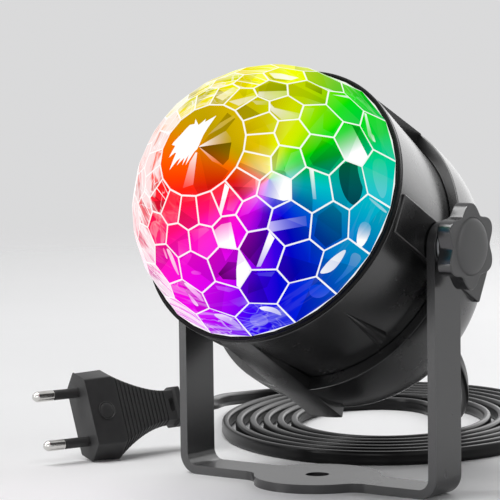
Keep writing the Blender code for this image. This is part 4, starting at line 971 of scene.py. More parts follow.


# Painted highlights and painted shade on the facets: ring, place in it, strength at the first edge and at the
# far end, then the outline in mm about the facet's middle, x along the ring and y towards the crown.
# Strengths above
# 0 are painted glints going to white and those below 0 painted shade going to black.
facetMarks = (
    (0, 0, 0, -0.1, 1.3, 5.8, 3.3, 1.4, -3, 0.8, -2.4, 5.6),
    (0, 1, 0, -0.12, 1.1, 5.7, 3.9, -3, -0.1, -4.5, -2.4, 5.9),
    (0, 2, 0.5, 0.1, 3.7, -0.7, 0, -5.5, -1.5, -4.5, 1.2, -1.1),
    (0, 3, 0.7, 0.4, 2.6, 3.8, -3.1, -3, -4.5, -2.4, -2.3, 3.6),
    (0, 3, -0.05, -0.2, 3.8, -1.9, 0.6, -5.1, -1.9, -4.1, -0.1, -0.4),
    (0, 4, 0.8, 0.4, 2.8, 1.9, -1.2, -3.5, -4.1, -2.5, -1.3, 3.7),
    (0, 13, 0.22, 0.1, -2.3, 5.3, 2.5, 5.7, 2.6, 4.5, -2.5, 3.7),
    (0, 14, 0.15, 0, -2.6, 5.6, 2.6, 5.6, 2.8, 3.5, -2.7, 3.1),
    (0, 15, 1, 0.9, 2.5, 5.3, 3, 3.3, -4.2, -2.8, -4.1, -1),
    (0, 15, 0.15, 0.3, 3.1, 2.4, 3.8, -2.2, -0.2, -4.1, -1.7, -2.3),
    (0, 16, 0.6, 0.3, 3.8, -1.8, 4.2, -3.3, 0.4, -5.2, 0.6, -4.6),
    (0, 16, -0.25, -0.1, -2.9, 2.8, 1.1, -2.7, 0.4, -4, -3.7, -2.9, -3.1, -0.1),
    (0, 17, 0.15, 0.5, 1, -1.3, 4, -3.3, 1.5, -4.7),
    (1, 0, 0.1, 0, 3.6, 3.3, 5.4, -3.1, 2.3, -4.5, 0.1, 1.5),
    (1, 1, 0.75, 0.35, 4.2, 4, 1.3, 3.2, -3.4, -4.2, -5, -2.8, -4.3, 2.6, 0.3, 4.7),
    (1, 2, 0.45, 0.8, 2, 3.5, -3.5, -4.7, -5.6, -3, -4.2, 3.4, 0.4, 5),
    (1, 2, -0.15, -0.3, 4.3, 2, 4.1, -3, -0.5, -5.9, -3.5, -4.7, 2, 3.5),
    (1, 12, 0.1, 0.35, -0.1, -1, 4.7, 1.2, 5.3, -2.6, 0.3, -6.1),
    (1, 13, 0.25, 0.1, -3.9, 3.6, 2.4, 4, 3.4, 2.9, -3.4, -0.4),
    (1, 14, 0.6, 1.3, -1.4, 3.1, 2, 2.3, -0.4, -6.1, -5.5, -3, -4.8, 2.3),
    (1, 14, 0, 0.2, 1.7, -2.3, 5.1, -3.1, 0.8, -6.1),
    (1, 15, 0.3, 0.1, -0.2, 4.8, 4.3, 3.5, 4, 2.1, -1.4, 1.1, -4, 2.6),
    (1, 15, -0.1, -0.25, 4.2, -0.4, 5.1, -3.1, 0.3, -6.4, -2.3, -4.1, 0.6, -3.1),
    (1, 16, 0.4, 1.35, -4.1, 3.3, -0.9, 4.5, 4.4, 3.3, 5.4, -3.1, 0, -6.5, -1.6, -4.7),
    (1, 16, 0, 0.1, -4.3, 3.2, -1.7, -4.8, -5.5, -3),
    (1, 17, 0.25, 0.4, 3.2, -0.7, 5, -3.1, 0.2, -6.5, -5.2, -3.1, -3.4, -0.1),
    (1, 17, 0.12, 0.05, -3.9, 2.7, 4.1, 3.6, 4.6, 1.8, -3.4, -0.1),
    (2, 0, 0.25, 0, 5.1, 4.3, 5, 0.8, -4, 5.3, -0.3, 6.8),
    (2, 0, 0, -0.12, 5.3, -2.6, 0.6, -7.8, -5.4, -3.8, -3.5, -0.5),
    (2, 1, -0.15, -0.35, 6.3, -2.8, 1.5, -6.7, -1.6, -5, 3.6, -1.3),
    (2, 1, 0, 0.35, -0.3, 6.6, -1.7, 2.3, -6.3, -2.6, -5.9, 4),
    (2, 2, 0.7, 0.9, 4.8, 2.8, 2.2, -0.4, -3.9, -2.8, -4.1, 1, 0.2, 4.6),
    (2, 2, -0.35, -0.2, 4, 4.3, 0.2, 4.6, -4.1, 1, -4.3, 3.3, -0.6, 6.1),
    (2, 11, 0.9, 0.6, -0.1, 5.7, 2.2, 5.8, 4.5, 1.2, 6, -3.6, 3.2, -1, 1, 3.3),
    (2, 11, 0.5, 0.8, -2.1, 4.9, -0.9, 5.2, 0.4, 1.3, -0.7, 1.5),
    (2, 12, 0.3, 0.2, -2.4, -0.6, -0.3, 0, 2.3, -0.7, 1.3, -1.6, -1.9, -1.6),
    (2, 12, 0.2, 0.05, -5.7, 3.6, -0.6, 6.4, 0.4, 5.6, -4.5, 0.6),
    (2, 13, -0.3, -0.6, 0.5, 1.4, 4.4, -0.2, 0.6, -5.6, -4, -3.8, -4.7, -1.5),
    (2, 13, 1, 1, 6, 4.1, 7, -3.2, 0.6, -8.8, -0.5, -7.5, 2.1, -2),
    (2, 13, 0, 0.2, 0.4, 6.7, 4.6, 4.7, -0.2, 1.8),
    (2, 14, -0.35, -0.5, 0, 6.8, 5.6, 4, -2.5, -3.9, -5, -4, -5.6, 4.2),
    (2, 14, 1.1, 0.65, 5.9, 3.3, 5.9, 0.4, -3.7, -4.6, -4.9, -3.9),
    (2, 15, 0.85, 0.25, -7.6, 4, -4.4, 5.7, 5.1, -2.7, 2.8, -5),
    (2, 15, 0.15, 0, 0.2, 6.8, 5.7, 4.2, 5.4, 2.7, -0.9, 3.6, -3.8, 5.5),
    (2, 16, 1, 0.45, 6.1, 3.3, 6.5, 1.8, -2.1, -3.1, -2.5, -2.1),
    (2, 16, -0.05, -0.2, -1.5, 5.7, -0.2, 0.5, -2.5, -2.1, -6.8, -3.7, -5.9, 4.3),
    (2, 17, -0.12, -0.3, 4.9, 0.3, 4.3, -2.8, 1.7, -7.4, -5.3, -3.8, -4.9, 2, -2.7, 3.7),
    (2, 17, 0.15, 0, 5.7, 4.1, 6.4, 0.5, 4.9, 0.3, -2.7, 3.7, -1.8, 5.6),
    (3, 0, 0.9, 0.4, 5.7, 2.7, 6.9, -6.9, 1.3, -8.6, 2.4, -7.2, 5.3, -4.2),
    (3, 1, 0.9, 0.5, -2.2, 8.5, -5.6, 1.9, -9.2, 0.3, -9.3, 3.4, -5.6, 7.2),
    (3, 1, -0.35, -0.5, -3.5, 10.1, -6.2, 7.6, -8.1, 4.6, -8.4, 9.2, -6.7, 12),
    (3, 11, 0.9, 0.5, -0.5, 6.4, 2.9, 6.1, 6.4, 2.5, 6.8, -1.4, 2.9, 1.8),
    (3, 11, 0.6, 0.9, -0.2, 1.9, 1.6, 0.2, 3.6, -3.6, 0.7, -3.8),
    (3, 12, 0.3, 0.15, -0.9, 5.9, 6.7, 3.2, 2.9, 2.5, -0.7, 4.1),
    (3, 12, 0.1, 0.35, 1, -1.1, 8, 0.3, 7.4, -3.1, 3.5, -4),
    (3, 13, 0.25, 0.15, -0.2, 6.1, 6.5, 3, 4.4, 2, 1, 4.3),
    (3, 13, -0.1, -0.3, -2.6, 4.9, 1, 4.3, 4.4, 2, 0.8, -0.7, -6.2, 0.2),
    (3, 14, -0.15, -0.05, 7.5, 2.8, 7.6, -2.6, 0.4, -6.7, 2.4, -2.3),
    (3, 14, 0, -0.2, 1.3, 5.9, 6.8, 3.1, 2, -2, -6.8, -3.2, -6.5, 2.9),
    (3, 15, -0.22, -0.36, 0.6, 5.4, 6.2, 2.9, 5.5, -1.4, -1, -6, -6.7, -3, -5.7, 2.7),
    (3, 15, 0.1, 0.05, 7, 3.5, 7.5, -2.7, 0.1, -7.3, -1, -6, 5.5, -1.4),
    (3, 16, -0.55, -0.65, 5.2, 5.3, 9.2, -1.1, 1.6, -6.2, -6.2, -5.2, -5.2, -0.7, -0.3, 3.5),
    (3, 16, 0.12, 0.05, 7.7, -1, 7.5, -3, 0.2, -7.9, 1.4, -5.1),
    (3, 17, 0.2, 1.5, -0.1, 7.3, 7, 3.7, 6.8, 0, -3.8, -6, -7.8, -3.2, -7.3, 3.3),
    (3, 17, -0.25, -0.1, 6.8, 0, 7, -2.9, 0, -7, -3.8, -6),
    (4, 11, 0.8, 0.4, -0.4, 6.3, 4.8, 6.3, 7.7, 2, 6.6, -3.4, 3.1, 1.2, -0.2, 3.7),
    (4, 12, 0.9, 0.5, 1.6, 6.2, 4.6, 5.5, 7.1, 2.9, 6.6, -1.7, 4.7, 1.8, 1.9, 4.3),
    (4, 12, 0.3, 0.45, -2.1, 4, 1.6, 2.3, 0.9, -2.6, -4.1, -3.2, -5.4, 0.9),
    (4, 13, 0.15, 0.35, 4.6, 4.1, 8.6, -0.5, 8.8, -3.5, 3.6, -3.9, 1.5, -0.1),
    (4, 14, 0.85, 1, 5.9, 2.7, 1, 1.2, -3.7, 1.2, -6.6, 4.1, -6.3, 5.3, -0.2, 5.2),
    (4, 14, 0.35, 0.15, 5.9, 0.6, 6.5, -5.7, -3.9, -3.8, -7.7, -2.3, 0.9, -2.8),
    (4, 15, 0.3, 1.4, -0.5, 3.5, 0.2, -2.7, -8.5, -2.5, -8.6, 1.3),
    (4, 15, 0.5, 0.7, 7.6, 4.6, 7.1, -5.5, 6, -5.6, 6.6, 2.5),
    (4, 16, 0.15, 0.3, 5.5, 4.6, 7.1, -2.1, -3.6, -3.8, -7.5, -2.2, -5.9, 0.6, -0.9, 4.1),
    (4, 17, 0.9, 0.4, 7.2, 5.1, 7.4, 4, -2.6, 3.7, -4.8, 4, -2.8, 5.9),
    (4, 17, 0.5, 0.9, -0.2, 5.1, -1.5, 2.8, -4.2, 2.7, -4.2, 3.9),
)
# The hub's painted glints and painted shade: strength at the first edge and at the far end, then the outline
# in mm
crownMarks = (
    (1, 0.12, 0, 0, 0.1, 0.4, 7.9, 6.7, 10.8, 4.3, 11.4, 2.8),
    (-0.55, -0.35, 0, 0, 11.5, 2.7, 12.3, -3.3, 10.8, -5.6),
    (0.75, 0.1, 0.2, -0.1, 0.8, -0.3, 6.7, -3.3, 10.9, -5.7, 6.4, -4.5),
    (-0.12, -0.3, 0.7, 1.2, 3.1, 7.1, 5.8, 13.7, 9.8, 11.5, 7.9, 6.7),
    (0.35, 0.15, 1.6, 4.7, 4.5, 9.5, 8.7, 12.9, 9.6, 12.1, 5.7, 7.8),
    (-0.1, -0.25, 0.1, -0.5, 6.4, -4.5, 13.5, -7.4, 11.7, -11.2, 7.3, -14.6),
    (0.95, 0.25, -0.9, -1.9, -0.2, -1.9, 0.9, -12.9, -3.1, -14.2, -2.5, -5.2),
    (-0.05, -0.18, -0.2, -2.1, 0.1, -0.5, 7.3, -14.6, 4.3, -16.8, 0.9, -12.9),
    (1, 1, -0.3, 0.6, -0.2, 4.7, 0.4, 7.6, 1.9, 12.5, -1.8, 9.8, -1.9, 11.1, -3.4, 9.3, -4.1, 8.7, -6.4, 11.1,
     -6, 9.1, -7.9, 8.8, -9.1, 7.2, -10.6, 4.9, -12.7, 2.3, -13.1, 1.4, -11.3, 0.9, -12, -1.1, -12.7, -3.4,
     -10.7, -1.7, -9.9, -1.7, -10.4, -4.5, -10.9, -7.9, -8.5, -4.6, -7.2, -3.6, -8, -6.3, -5.4, -3.6, -5.6,
     -6.3, -3.7, -2.6, -4.1, -6.3, -1.5, -1.6, -0.5, -0.6),
)

# How each facet is lit, as painted light and painted shade: (brightness, hue turn in degrees, share of
# painted white reflection streaks)
facetLook = {
    0: {0: (1.15, -3, 0), 2: (0.9, -12, 0), 3: (1.12, -18, 0.08), 4: (1.3, -28, 0.3), 5: (1.4, -38, 0.42),
        6: (1.45, -48, 0.6), 7: (1.4, -5, 0.9), 8: (1, 0, 0.85), 9: (1, 0, 0.78), 10: (1, 0, 0.72),
        11: (1, 0, 0.35), 12: (1, 0, 0.15), 15: (1, 0, 0.05), 17: (1.35, -4, 0)},
    1: {1: (0.9, 0, 0), 2: (0.85, -12, 0), 3: (1.4, -15, 0.2), 4: (1.45, -28, 0.4), 5: (1.45, -38, 0.5),
        6: (1.45, -50, 0.75), 7: (1, 0, 0.95), 8: (1, 0, 0.95), 9: (1, 0, 0.9), 10: (1, 0, 0.8),
        11: (1, 0, 0.25), 12: (1, 0, 0.06), 16: (1, 0, 0.1), 17: (1, -6, 0.05)},
    2: {0: (1, -6, 0), 1: (0.82, -4, 0), 2: (1.25, -5, 0.15), 3: (1.4, -12, 0.25), 4: (1.45, -28, 0.4),
        5: (1.45, -45, 0.6), 8: (1, 0, 0.95), 9: (1, 0, 0.95), 10: (1, 0, 0.8), 11: (1, 0, 0.1),
        13: (0.95, 0, 0), 14: (0.95, 0, 0), 17: (0.86, 0, 0)},
    3: {0: (1.05, -13, 0), 1: (0.75, -10, 0.1), 2: (1.3, 0, 0.2), 3: (1.3, -15, 0.3), 9: (1, 0, 0.95),
        10: (1, 0, 0.9), 11: (1, 0, 0.25), 12: (1, 5, 0.05), 13: (0.95, 10, 0), 14: (0.9, 0, 0),
        15: (0.8, 0, 0), 16: (0.85, 0, 0), 17: (1, -5, 0)},
    4: {0: (1, -12, 0.2), 1: (1, -12, 0.3), 9: (1, 0, 0.9), 10: (1, 0, 0.75), 11: (1, 5, 0.35),
        12: (1.1, 12, 0.25), 13: (1.05, 10, 0.08), 14: (0.9, 12, 0.06), 15: (1, 2, 0.08), 16: (1.08, 0, 0.04),
        17: (1.05, -3, 0.06)},
}

# These facets' painted glints and painted shade have smooth lens shapes, the others straight-edged ones
lensFacets = {(2, 11), (2, 12), (3, 1), (3, 11), (3, 16)} | {(4, index) for index in range(11, 17)}


class Facet:
    # A flat patch of the dome: 2-D outline, inner outline and marks, lifted back to 3-D
    def __init__(self, centre, normal, corners):
        self.centre, self.normal = centre, normal
        east = Vector((0, 0, 1)).cross(normal)
        self.east = east.normalized() if east.length > 1e-4 else Vector((1, 0, 0))
        self.north = normal.cross(self.east)
        self.corners = corners
        self.outline = [self.flat(corner) for corner in corners]

    def flat(self, point):
        gap = point - self.centre
        return Vector((gap.dot(self.east), gap.dot(self.north)))

    def lifted(self, point):
        return self.centre + self.east * point.x + self.north * point.y

    def inset(self, distance):
        made = []
        for i, here in enumerate(self.outline):
            before = (self.outline[i - 1] - here).normalized()
            after = (self.outline[(i + 1) % len(self.outline)] - here).normalized()
            way, half = before + after, max(0.3, math.sin(before.angle(after) / 2))
            if way.length < 0.1:
                way, half = Vector((-after.y, after.x)), 1.0
            made.append(here + way.normalized() * distance / half)
        return made


def clipped(points, border):
    # The part of a flat outline inside a border that runs counter-clockwise
    for a, b in zip(border, border[1:] + border[:1]):
        sides = [(b - a).cross(p - a) for p in points]
        kept = []
        for i, here in enumerate(points):
            j = (i + 1) % len(points)
            if sides[i] >= 0:
                kept.append(here)
            if (sides[i] >= 0) != (sides[j] >= 0):
                kept.append(here.lerp(points[j], sides[i] / (sides[i] - sides[j])))
        points = kept
    return points


class Mark:
    def __init__(self, start, end, *outline, lens=False):
        points = [Vector(point) for point in zip(outline[::2], outline[1::2])]
        self.start, self.end = start, end
        self.base = (points[0] + points[1]) / 2
        self.reach = max(points, key=lambda point: (point - self.base).length) - self.base
        if sum(a.cross(b) for a, b in zip(points, points[1:] + points[:1])) < 0:
            points.reverse()
        for _ in range(2 if lens else 0):     # each pass cuts the corners off
            spans = list(zip(points, points[1:] + points[:1]))
            points = [p for a, b in spans for p in (a.lerp(b, 0.25), a.lerp(b, 0.75))]
        self.points = points

    def strength(self, point):
        share = (point - self.base).dot(self.reach) / self.reach.length_squared
        return self.start + (self.end - self.start) * min(1.0, max(0.0, share))


# Rows of painted reflection streaks and painted shade lines: lowest and highest height, strength at the start
# and at the end
streakRows = ((-5.5, -2.5, 1.0, 0.7), (-2.0, 0.5, -0.3, -0.15), (0.5, 2.5, 0.9, 1.0), (3.0, 5.5, 0.6, 0.9))


def edgeStreaks(chance):
    # Thin lines of painted reflection and painted shade along the ring, as the facets show near the dome's
    # outline
    made = []
    for low, high, start, end in streakRows:
        y, slope = chance.uniform(low, high), chance.uniform(-0.2, 0.2)
        thick = chance.uniform(0.25, 0.8)
        left, right = -chance.uniform(3, 9), chance.uniform(3, 9)
        made.append((start, end, left, y + slope * left, left, y + slope * left - thick,
                     right, y + slope * right - thick * 0.4, right, y + slope * right))
    return made


def fillFacet(bm, layers, facet, marks, look, lift, spokes=()):
    corners = len(facet.outline)
    points = facet.outline + facet.inset(dome["seam"])
    shapes = [list(range(corners)), list(range(corners, 2 * corners))]
    shown = []
    first, step = dome["markSeam"]
    for number, mark in enumerate(marks):
        # every mark ends at its own line in the seam, so that no two outlines coincide
        piece = clipped(mark.points, facet.inset(dome["seam"] * (first - step * number)))
        if len(piece) > 2:
            shapes.append(list(range(len(points), len(points) + len(piece))))
            points += piece
            shown.append(mark)
    edges = []
    for point in spokes:
        edges += [(len(points), i + corners) for i in range(corners)]
        points.append(point)
    verts, _, faces, origins, _, owners = delaunay_2d_cdt(points, edges, shapes, 1, 1e-3)
    made = []
    for vert, origin in zip(verts, origins):
        outer = [i for i in origin if i < corners]
        made.append(bm.verts.new(facet.corners[outer[0]] if outer else lift(vert)))
    for face, owner in zip(faces, owners):
        if 0 not in owner or len(set(face)) < 3:
            continue
        new = bm.faces.new([made[i] for i in face])
        new.normal_update()
        if new.normal.dot(facet.normal) < 0:
            new.normal_flip()
        middle = 1 in owner
        new[layers["seam"]] = 0.0 if middle else 1.0
        new[layers["tone"]], new[layers["turn"]], new[layers["pale"]] = look
        on = [shown[i - 2] for i in owner if i > 1]
        for loop in new.loops:
            value, where = 0.0, facet.flat(loop.vert.co)
            if middle and on:
                bold = max(on, key=marks.index)
                value = bold.strength(where)
                if bold is not marks[0] and marks[0] in on:
                    value += marks[0].strength(where) * 0.5
            loop[layers["gleam"]] = value


def closeDome(bm):
    # The skirt inside the bezel and the plain inner wall close the shell
    inner, lip = dome["radius"] - dome["wall"], dome["skirt"] - dome["wall"]
    wall = [(dome["skirt"], dome["edgeHeight"] - 1.0), (dome["skirt"], dome["skirtBottom"]),
            (lip, dome["skirtBottom"])]
    for a in (math.asin(lip / inner) * (1 - k / 12) for k in range(13)):
        wall.append((inner * math.sin(a), dome["centre"] + inner * math.cos(a)))
    edges = [edge for edge in bm.edges if edge.is_boundary]
    for radius, height in wall:
        grownRing = bmesh.ops.extrude_edge_only(bm, edges=edges)["geom"]
        edges = [item for item in grownRing if isinstance(item, bmesh.types.BMEdge)
                 and all(vert in grownRing for vert in item.verts) and item.is_boundary]
        for vert in {vert for edge in edges for vert in edge.verts}:
            flat = vert.co.xy.normalized() * max(radius, 1e-5)
            vert.co = Vector((flat.x, flat.y, height))
    bmesh.ops.remove_doubles(bm, verts=bm.verts, dist=1e-3)
    bmesh.ops.recalc_face_normals(bm, faces=bm.faces)


def makeDome(finish):
    crown, cells = domeCells()
    chance = random.Random(dome["seed"])
    bm = bmesh.new()
    layers = {key: bm.faces.layers.float.new(key) for key in ("seam", "tone", "turn", "pale")}
    layers["gleam"] = bm.loops.layers.float.new("gleam")
    top = dome["centre"] + dome["radius"] * dome["tipShare"]
    drop = top - crown[0].z
    step = math.pi / dome["cells"]

    def onCone(point):
        wedge = 2 * step * math.floor(math.atan2(point.y, point.x) / (2 * step)) + step
        out = point.x * math.cos(wedge) + point.y * math.sin(wedge)
        return Vector((point.x, point.y, top - drop * out / (crown[0].xy.length * math.cos(step))))

    hub = Facet(Vector(), Vector((0, 0, 1)), crown)
    marks = [Mark(*mark) for mark in crownMarks]
    fillFacet(bm, layers, hub, marks, dome["hubLook"], onCone, [Vector((0, 0))])
    for ring, index, corners in cells:
        centre = sum(corners, Vector()) / len(corners)
        spans = zip(corners, corners[1:] + corners[:1])
        normal = sum(((a - centre).cross(b - centre) for a, b in spans), Vector()).normalized()
        if normal.dot(centre - Vector((0, 0, dome["centre"]))) < 0:
            normal.negate()
            corners = corners[::-1]
        # Painted shade and painted light over part of each facet: a random straight edge, darker or lighter
        # on one side
        angle, reach = chance.uniform(0, 2 * math.pi), dome["paintedHalfShade"]
        way, side = Vector((math.cos(angle), math.sin(angle))), Vector((-math.sin(angle), math.cos(angle)))
        depth = chance.choice(dome["halfShadeStrengths"])
        paintedHalfShade = [way * chance.uniform(-2, 2) - side * reach, way * chance.uniform(-2, 2) + side * reach,
                way * reach + side * reach, way * reach - side * reach]
        given = [mark[2:] for mark in facetMarks if mark[:2] == (ring, index)]
        first, last = dome["streaked"][ring]
        if first <= index <= last:
            given = edgeStreaks(chance)
        marks = [Mark(depth, depth * 0.3, *(c for point in paintedHalfShade for c in point))]
        marks += [Mark(*mark, lens=(ring, index) in lensFacets) for mark in given]
        look = facetLook[ring].get(index, (1.0, chance.uniform(-5, 5), 0.0))
        facet = Facet(centre, normal, corners)
        fillFacet(bm, layers, facet, marks, look, facet.lifted)
    bmesh.ops.remove_doubles(bm, verts=bm.verts, dist=1e-4)
    closeDome(bm)
    openEdges = sum(1 for edge in bm.edges if not edge.is_manifold)
    print(f"dome: {len(bm.faces)} faces, {openEdges} open edges")
    addPiece("crystalDome", [bm], headFrame, finish, "dome_drive", ("crystal_dome",),
             sharp=3, weighted=False)


rainbow = ((-180, (252, 40, 20)), (-165, (252, 26, 68)), (-152, (252, 24, 118)), (-144, (253, 26, 178)),
           (-136, (250, 24, 206)), (-126, (240, 14, 224)), (-113, (214, 14, 246)), (-98, (130, 4, 240)),
           (-86, (62, 4, 232)), (-74, (12, 12, 216)), (-64, (2, 40, 214)), (-47, (0, 84, 206)),
           (-28, (0, 140, 200)), (-6, (0, 190, 198)), (8, (0, 198, 150)), (20, (0, 200, 60)),
           (32, (0, 222, 0)), (46, (120, 224, 0)), (60, (196, 234, 0)), (72, (216, 232, 0)),
           (90, (206, 192, 0)), (110, (208, 176, 0)), (130, (190, 158, 0)), (141, (206, 146, 0)),
           (151, (234, 118, 0)), (161, (248, 92, 0)), (171, (252, 66, 0)), (180, (252, 36, 24)))


domeLook = {"paintedCentreGlow": 0.25, "paintedCentreGlowRadius": 12.0, "darkPower": 1.7, "whitePower": 2.2, "around": 1.6,
            "towards": 330.0, "streakEdge": (0.36, 0.6), "washPower": 1.8, "curl": 95.0, "curlHalf": 0.022,
            "curlStrength": 0.7, "seam": 0.9, "unlit": 0.93}


def linear(red, green, blue):
    # Colours are picked as screen values from 0 to 255
    return tuple((c / 255) ** 2.2 for c in (red, green, blue))


def hueCentre():
    # The rainbow turns about a point on the dome's front, a little right of its middle
    right, up, back = cameraAxes()
    eye = cameraObject.matrix_world.translation
    x, y = (place - camera["frame"] / 2 for place in dome["hueAt"])
    ray = (right * x - up * y - back * camera["focal"]).normalized()
    gap = eye - headFrame @ Vector((0, 0, dome["centre"]))
    near = -ray.dot(gap) - math.sqrt(ray.dot(gap) ** 2 - gap.length_squared + (dome["radius"] * mm) ** 2)
    return eye + ray * near


def domeFinish():
    # A conic rainbow of painted LED glow about one point, then each facet's painted light and shade, painted
    # glints and painted reflection streaks
    paint = Paint("litDome", Roughness=0.1, IOR=1.015, Emission_Strength=0.97)
    right, up, _ = cameraAxes()
    spot = paint.spot()

    def dotted(origin, axis):
        gap = paint.node("ShaderNodeVectorMath", {"operation": "SUBTRACT"}, [spot, tuple(origin)])
        return paint.node("ShaderNodeVectorMath", {"operation": "DOT_PRODUCT"},
                          [gap, tuple(axis)]).output("Value")

    def facetValue(name):
        return paint.node("ShaderNodeAttribute", {"attribute_name": name}).output("Fac")

    centre = hueCentre()
    u, v = dotted(centre, right), dotted(centre, up)
    turn = v.maths("ARCTAN2", u) / (2 * math.pi) + 0.5 + facetValue("turn") / 360
    stops = [((degrees + 180) / 360, linear(*colour)) for degrees, colour in rainbow]
    colour = paint.node("ShaderNodeValToRGB", {"stops": stops}, [turn.maths("FRACT")])
    away = (u * u + v * v).maths("SQRT") / mm
    # Painted glow: the colour goes whiter towards the rainbow's centre
    paintedCentreGlow = (1 - away.rise(0.0, domeLook["paintedCentreGlowRadius"])) * domeLook["paintedCentreGlow"]
    colour = paint.mix(paintedCentreGlow, colour, (0.9, 0.95, 0.9))
    tone, gleam, pale = facetValue("tone"), facetValue("gleam"), facetValue("pale")
    # Painted shade: marks below 0 darken the colour
    dark = (1 + gleam.maths("MINIMUM", 0.0)).maths("POWER", domeLook["darkPower"])
    # Painted light and shade: each facet's given brightness, with a random unevenness, times the painted
    # shade of the dark marks
    shade = tone * (0.9 + 0.2 * paint.noise(55.0, 2.0, 0.5)) * dark
    grey = paint.node("ShaderNodeCombineColor", None, [shade, shade, shade])
    colour = paint.mix(1.0, colour, grey, "MULTIPLY")
    # painted reflections: white streaks run round the dome, squiggles are fine painted bright lines in the
    # outer cells
    north = headTurn.to_3x3() @ Vector((0, 1, 0))
    x, y, z = (dotted(pivot, axis) for axis in ((1, 0, 0), north, domeAxis))
    wrapped = paint.node("ShaderNodeCombineXYZ", None, [y.maths("ARCTAN2", x) * domeLook["around"],
                                                         z * domeLook["towards"], 0.0])
    streak = paint.noise(1.0, 3.0, 0.6, wrapped, 0.6)
    wash = pale * 1.5 - (1 - streak.rise(*domeLook["streakEdge"])) * 0.8
    wash = wash.maths("MAXIMUM", 0.0).maths("MINIMUM", 0.98).maths("POWER", domeLook["washPower"])
    curl = (paint.noise(domeLook["curl"], 1.5, 0.5, distortion=1.4) - 0.5).maths("ABSOLUTE")
    line = (1 - curl.rise(0.0, domeLook["curlHalf"])) * pale.rise(0.08, 0.6) * domeLook["curlStrength"]
    colour = paint.mix(wash, colour, paint.mix(0.22, (0.99, 0.97, 0.97), colour))
    colour = paint.mix(line, colour, (1.0, 0.98, 1.0))
    # Painted glints: marks above 0 mix the colour towards white
    white = gleam.maths("MAXIMUM", 0.0).maths("POWER", domeLook["whitePower"]).maths("MINIMUM", 1.0)
    colour = paint.mix(white, colour, (1.0, 1.0, 1.0))
    # Painted highlight: the seams between the facets glow almost white
    colour = paint.mix(facetValue("seam") * domeLook["seam"], colour, (1.0, 1.0, 0.98))
    # Painted glow: the coloured light of the LEDs inside is painted onto the dome as emission, and the base
    # colour is mostly darkened to black
    paint.feed(Base_Color=paint.mix(domeLook["unlit"], colour, (0.0, 0.0, 0.0)), Emission_Color=colour)
    return paint.material


makeDome(domeFinish())
print("dome ready")


# Finishes for the pieces that keep their CAD shape

def dress(finish, *nodeNames):
    for name in nodeNames:
        thing = frame["nodes"][name]
        thing.data.materials.clear()
        thing.data.materials.append(finish)


dress(steelFinish, "hub_set_screw", "motor_shaft", "gear_motor", "knob_stud_right", "knob_stud_left")
dress(trimFinish, "remote_receiver", "transformer")
dress(grainFinish("brass", (0.7, 0.48, 0.18), 0.3, 1500, 0.00001, metal=1.0),
      "pivot_insert_right", "pivot_insert_left")
dress(grainFinish("nylon", (0.72, 0.72, 0.69), 0.5, 1200, 0.00002, lift=1.1),
      "friction_washer_right", "friction_washer_left")
dress(grainFinish("aluminium", (0.7, 0.71, 0.72), 0.36, 1300, 0.00001, lift=1.12, metal=1.0),
      "heat_sink_plate", "smoothing_capacitor", "microphone")
dress(grainFinish("boardGreen", (0.015, 0.13, 0.045), 0.4, 900, 0.00003, patch=300, lift=1.8, coat=0.3),
      "led_board", "driver_board")
dress(grainFinish("clearPost", (0.75, 0.77, 0.8), 0.14, 700, 0.00001, lift=1.1, coat=0.5), "dome_stem")
dress(grainFinish("lensWhite", (0.85, 0.85, 0.8), 0.18, 900, 0.00001, lift=1.1, coat=0.6),
      "led_red", "led_green", "led_blue")
print("inner pieces dressed")


# Studio: pale floor, soft lights

studio = {"floor": 1.6, "floorColour": (0.93, 0.93, 0.935), "fade": (0.5, 1.25),
          "backdrop": (0.7, 0.7, 0.705), "around": (0.05, 0.05, 0.053),
          "sun": ((-0.35, -0.3, 1.0), 1.6, 40),
          "lamps": (("left", (-0.8, -1.08, 0.42), (0.3, 0.8), 6.0),
                    ("top", (0.05, -0.15, 1.5), (0.45, 0.35), 4.0),
                    ("back", (-0.1, 1.25, 0.5), (1.2, 0.9), 5.0),
                    ("right", (1.3, 0.1, 0.6), (0.4, 0.8), 2.8),
                    ("front", (0.6, -1.25, 0.35), (0.4, 0.4), 1.5))}


def mixShaders(nodes, links, factor, first, second, output):
    mix = nodes.new("ShaderNodeMixShader")
    for socket, source in zip(mix.inputs, (factor, first, second)):
        links.new(source, socket)
    links.new(mix.outputs[0], nodes[output].inputs["Surface"])


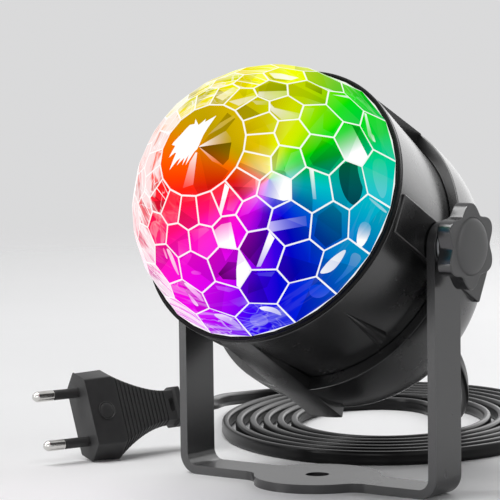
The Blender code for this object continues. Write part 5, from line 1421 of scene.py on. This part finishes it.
def makeFloor():
    # Pale paper that fades into the backdrop some way behind the lamp
    bm = bmesh.new()
    bmesh.ops.create_grid(bm, x_segments=1, y_segments=1, size=studio["floor"])
    floor = plainObject(bm, "floor")
    paint = Paint("floorPaper", Roughness=0.6)
    paint.feed(Base_Color=paint.mix(paint.noise(8.0, 2.0).rise(0.3, 0.7), studio["floorColour"],
                                    tuple(c * 0.985 for c in studio["floorColour"])))
    away = paint.node("ShaderNodeVectorMath", {"operation": "LENGTH"}, [paint.spot()]).output("Value")
    clear = paint.node("ShaderNodeBsdfTransparent")
    mixShaders(paint.tree.nodes, paint.tree.links, away.rise(*studio["fade"]).socket,
               paint.shader.outputs[0], clear.socket, "Material Output")
    floor.data.materials.append(paint.material)


def makeLights():
    def addLight(name, kind, place, power):
        data = bpy.data.lights.new(name, kind)
        data.energy = power
        lamp = linked(name, data)
        lamp.location, lamp.rotation_mode = place, "QUATERNION"
        lamp.rotation_quaternion = (Vector(place) - pivot).to_track_quat("Z", "Y")
        lamp.visible_camera = False
        return data

    place, power, spread = studio["sun"]
    addLight("sky", "SUN", place, power).angle = math.radians(spread)
    for name, place, size, power in studio["lamps"]:
        data = addLight(name, "AREA", place, power)
        data.shape = "RECTANGLE"
        data.size, data.size_y = size


def makeWorld():
    # The backdrop is seen directly, in gloss and through glass; only a dim fill lights the object
    world = bpy.data.worlds.new("studio")
    bpy.context.scene.world = world
    world.use_nodes = True
    tree = Nodes(world.node_tree)
    dim = world.node_tree.nodes["Background"]
    dim.inputs["Color"].default_value = (*studio["around"], 1)
    seen = tree.node("ShaderNodeBackground", None, {"Color": (*studio["backdrop"], 1)})
    path = tree.node("ShaderNodeLightPath")
    shown = path.output("Is Camera Ray")
    for name in ("Is Glossy Ray", "Is Transmission Ray"):
        shown = shown.maths("MAXIMUM", path.output(name))
    mixShaders(world.node_tree.nodes, world.node_tree.links, shown.socket, dim.outputs[0], seen.socket,
               "World Output")
    bpy.context.scene.view_settings.view_transform = "Standard"


makeFloor()
makeLights()
makeWorld()
print("studio ready")
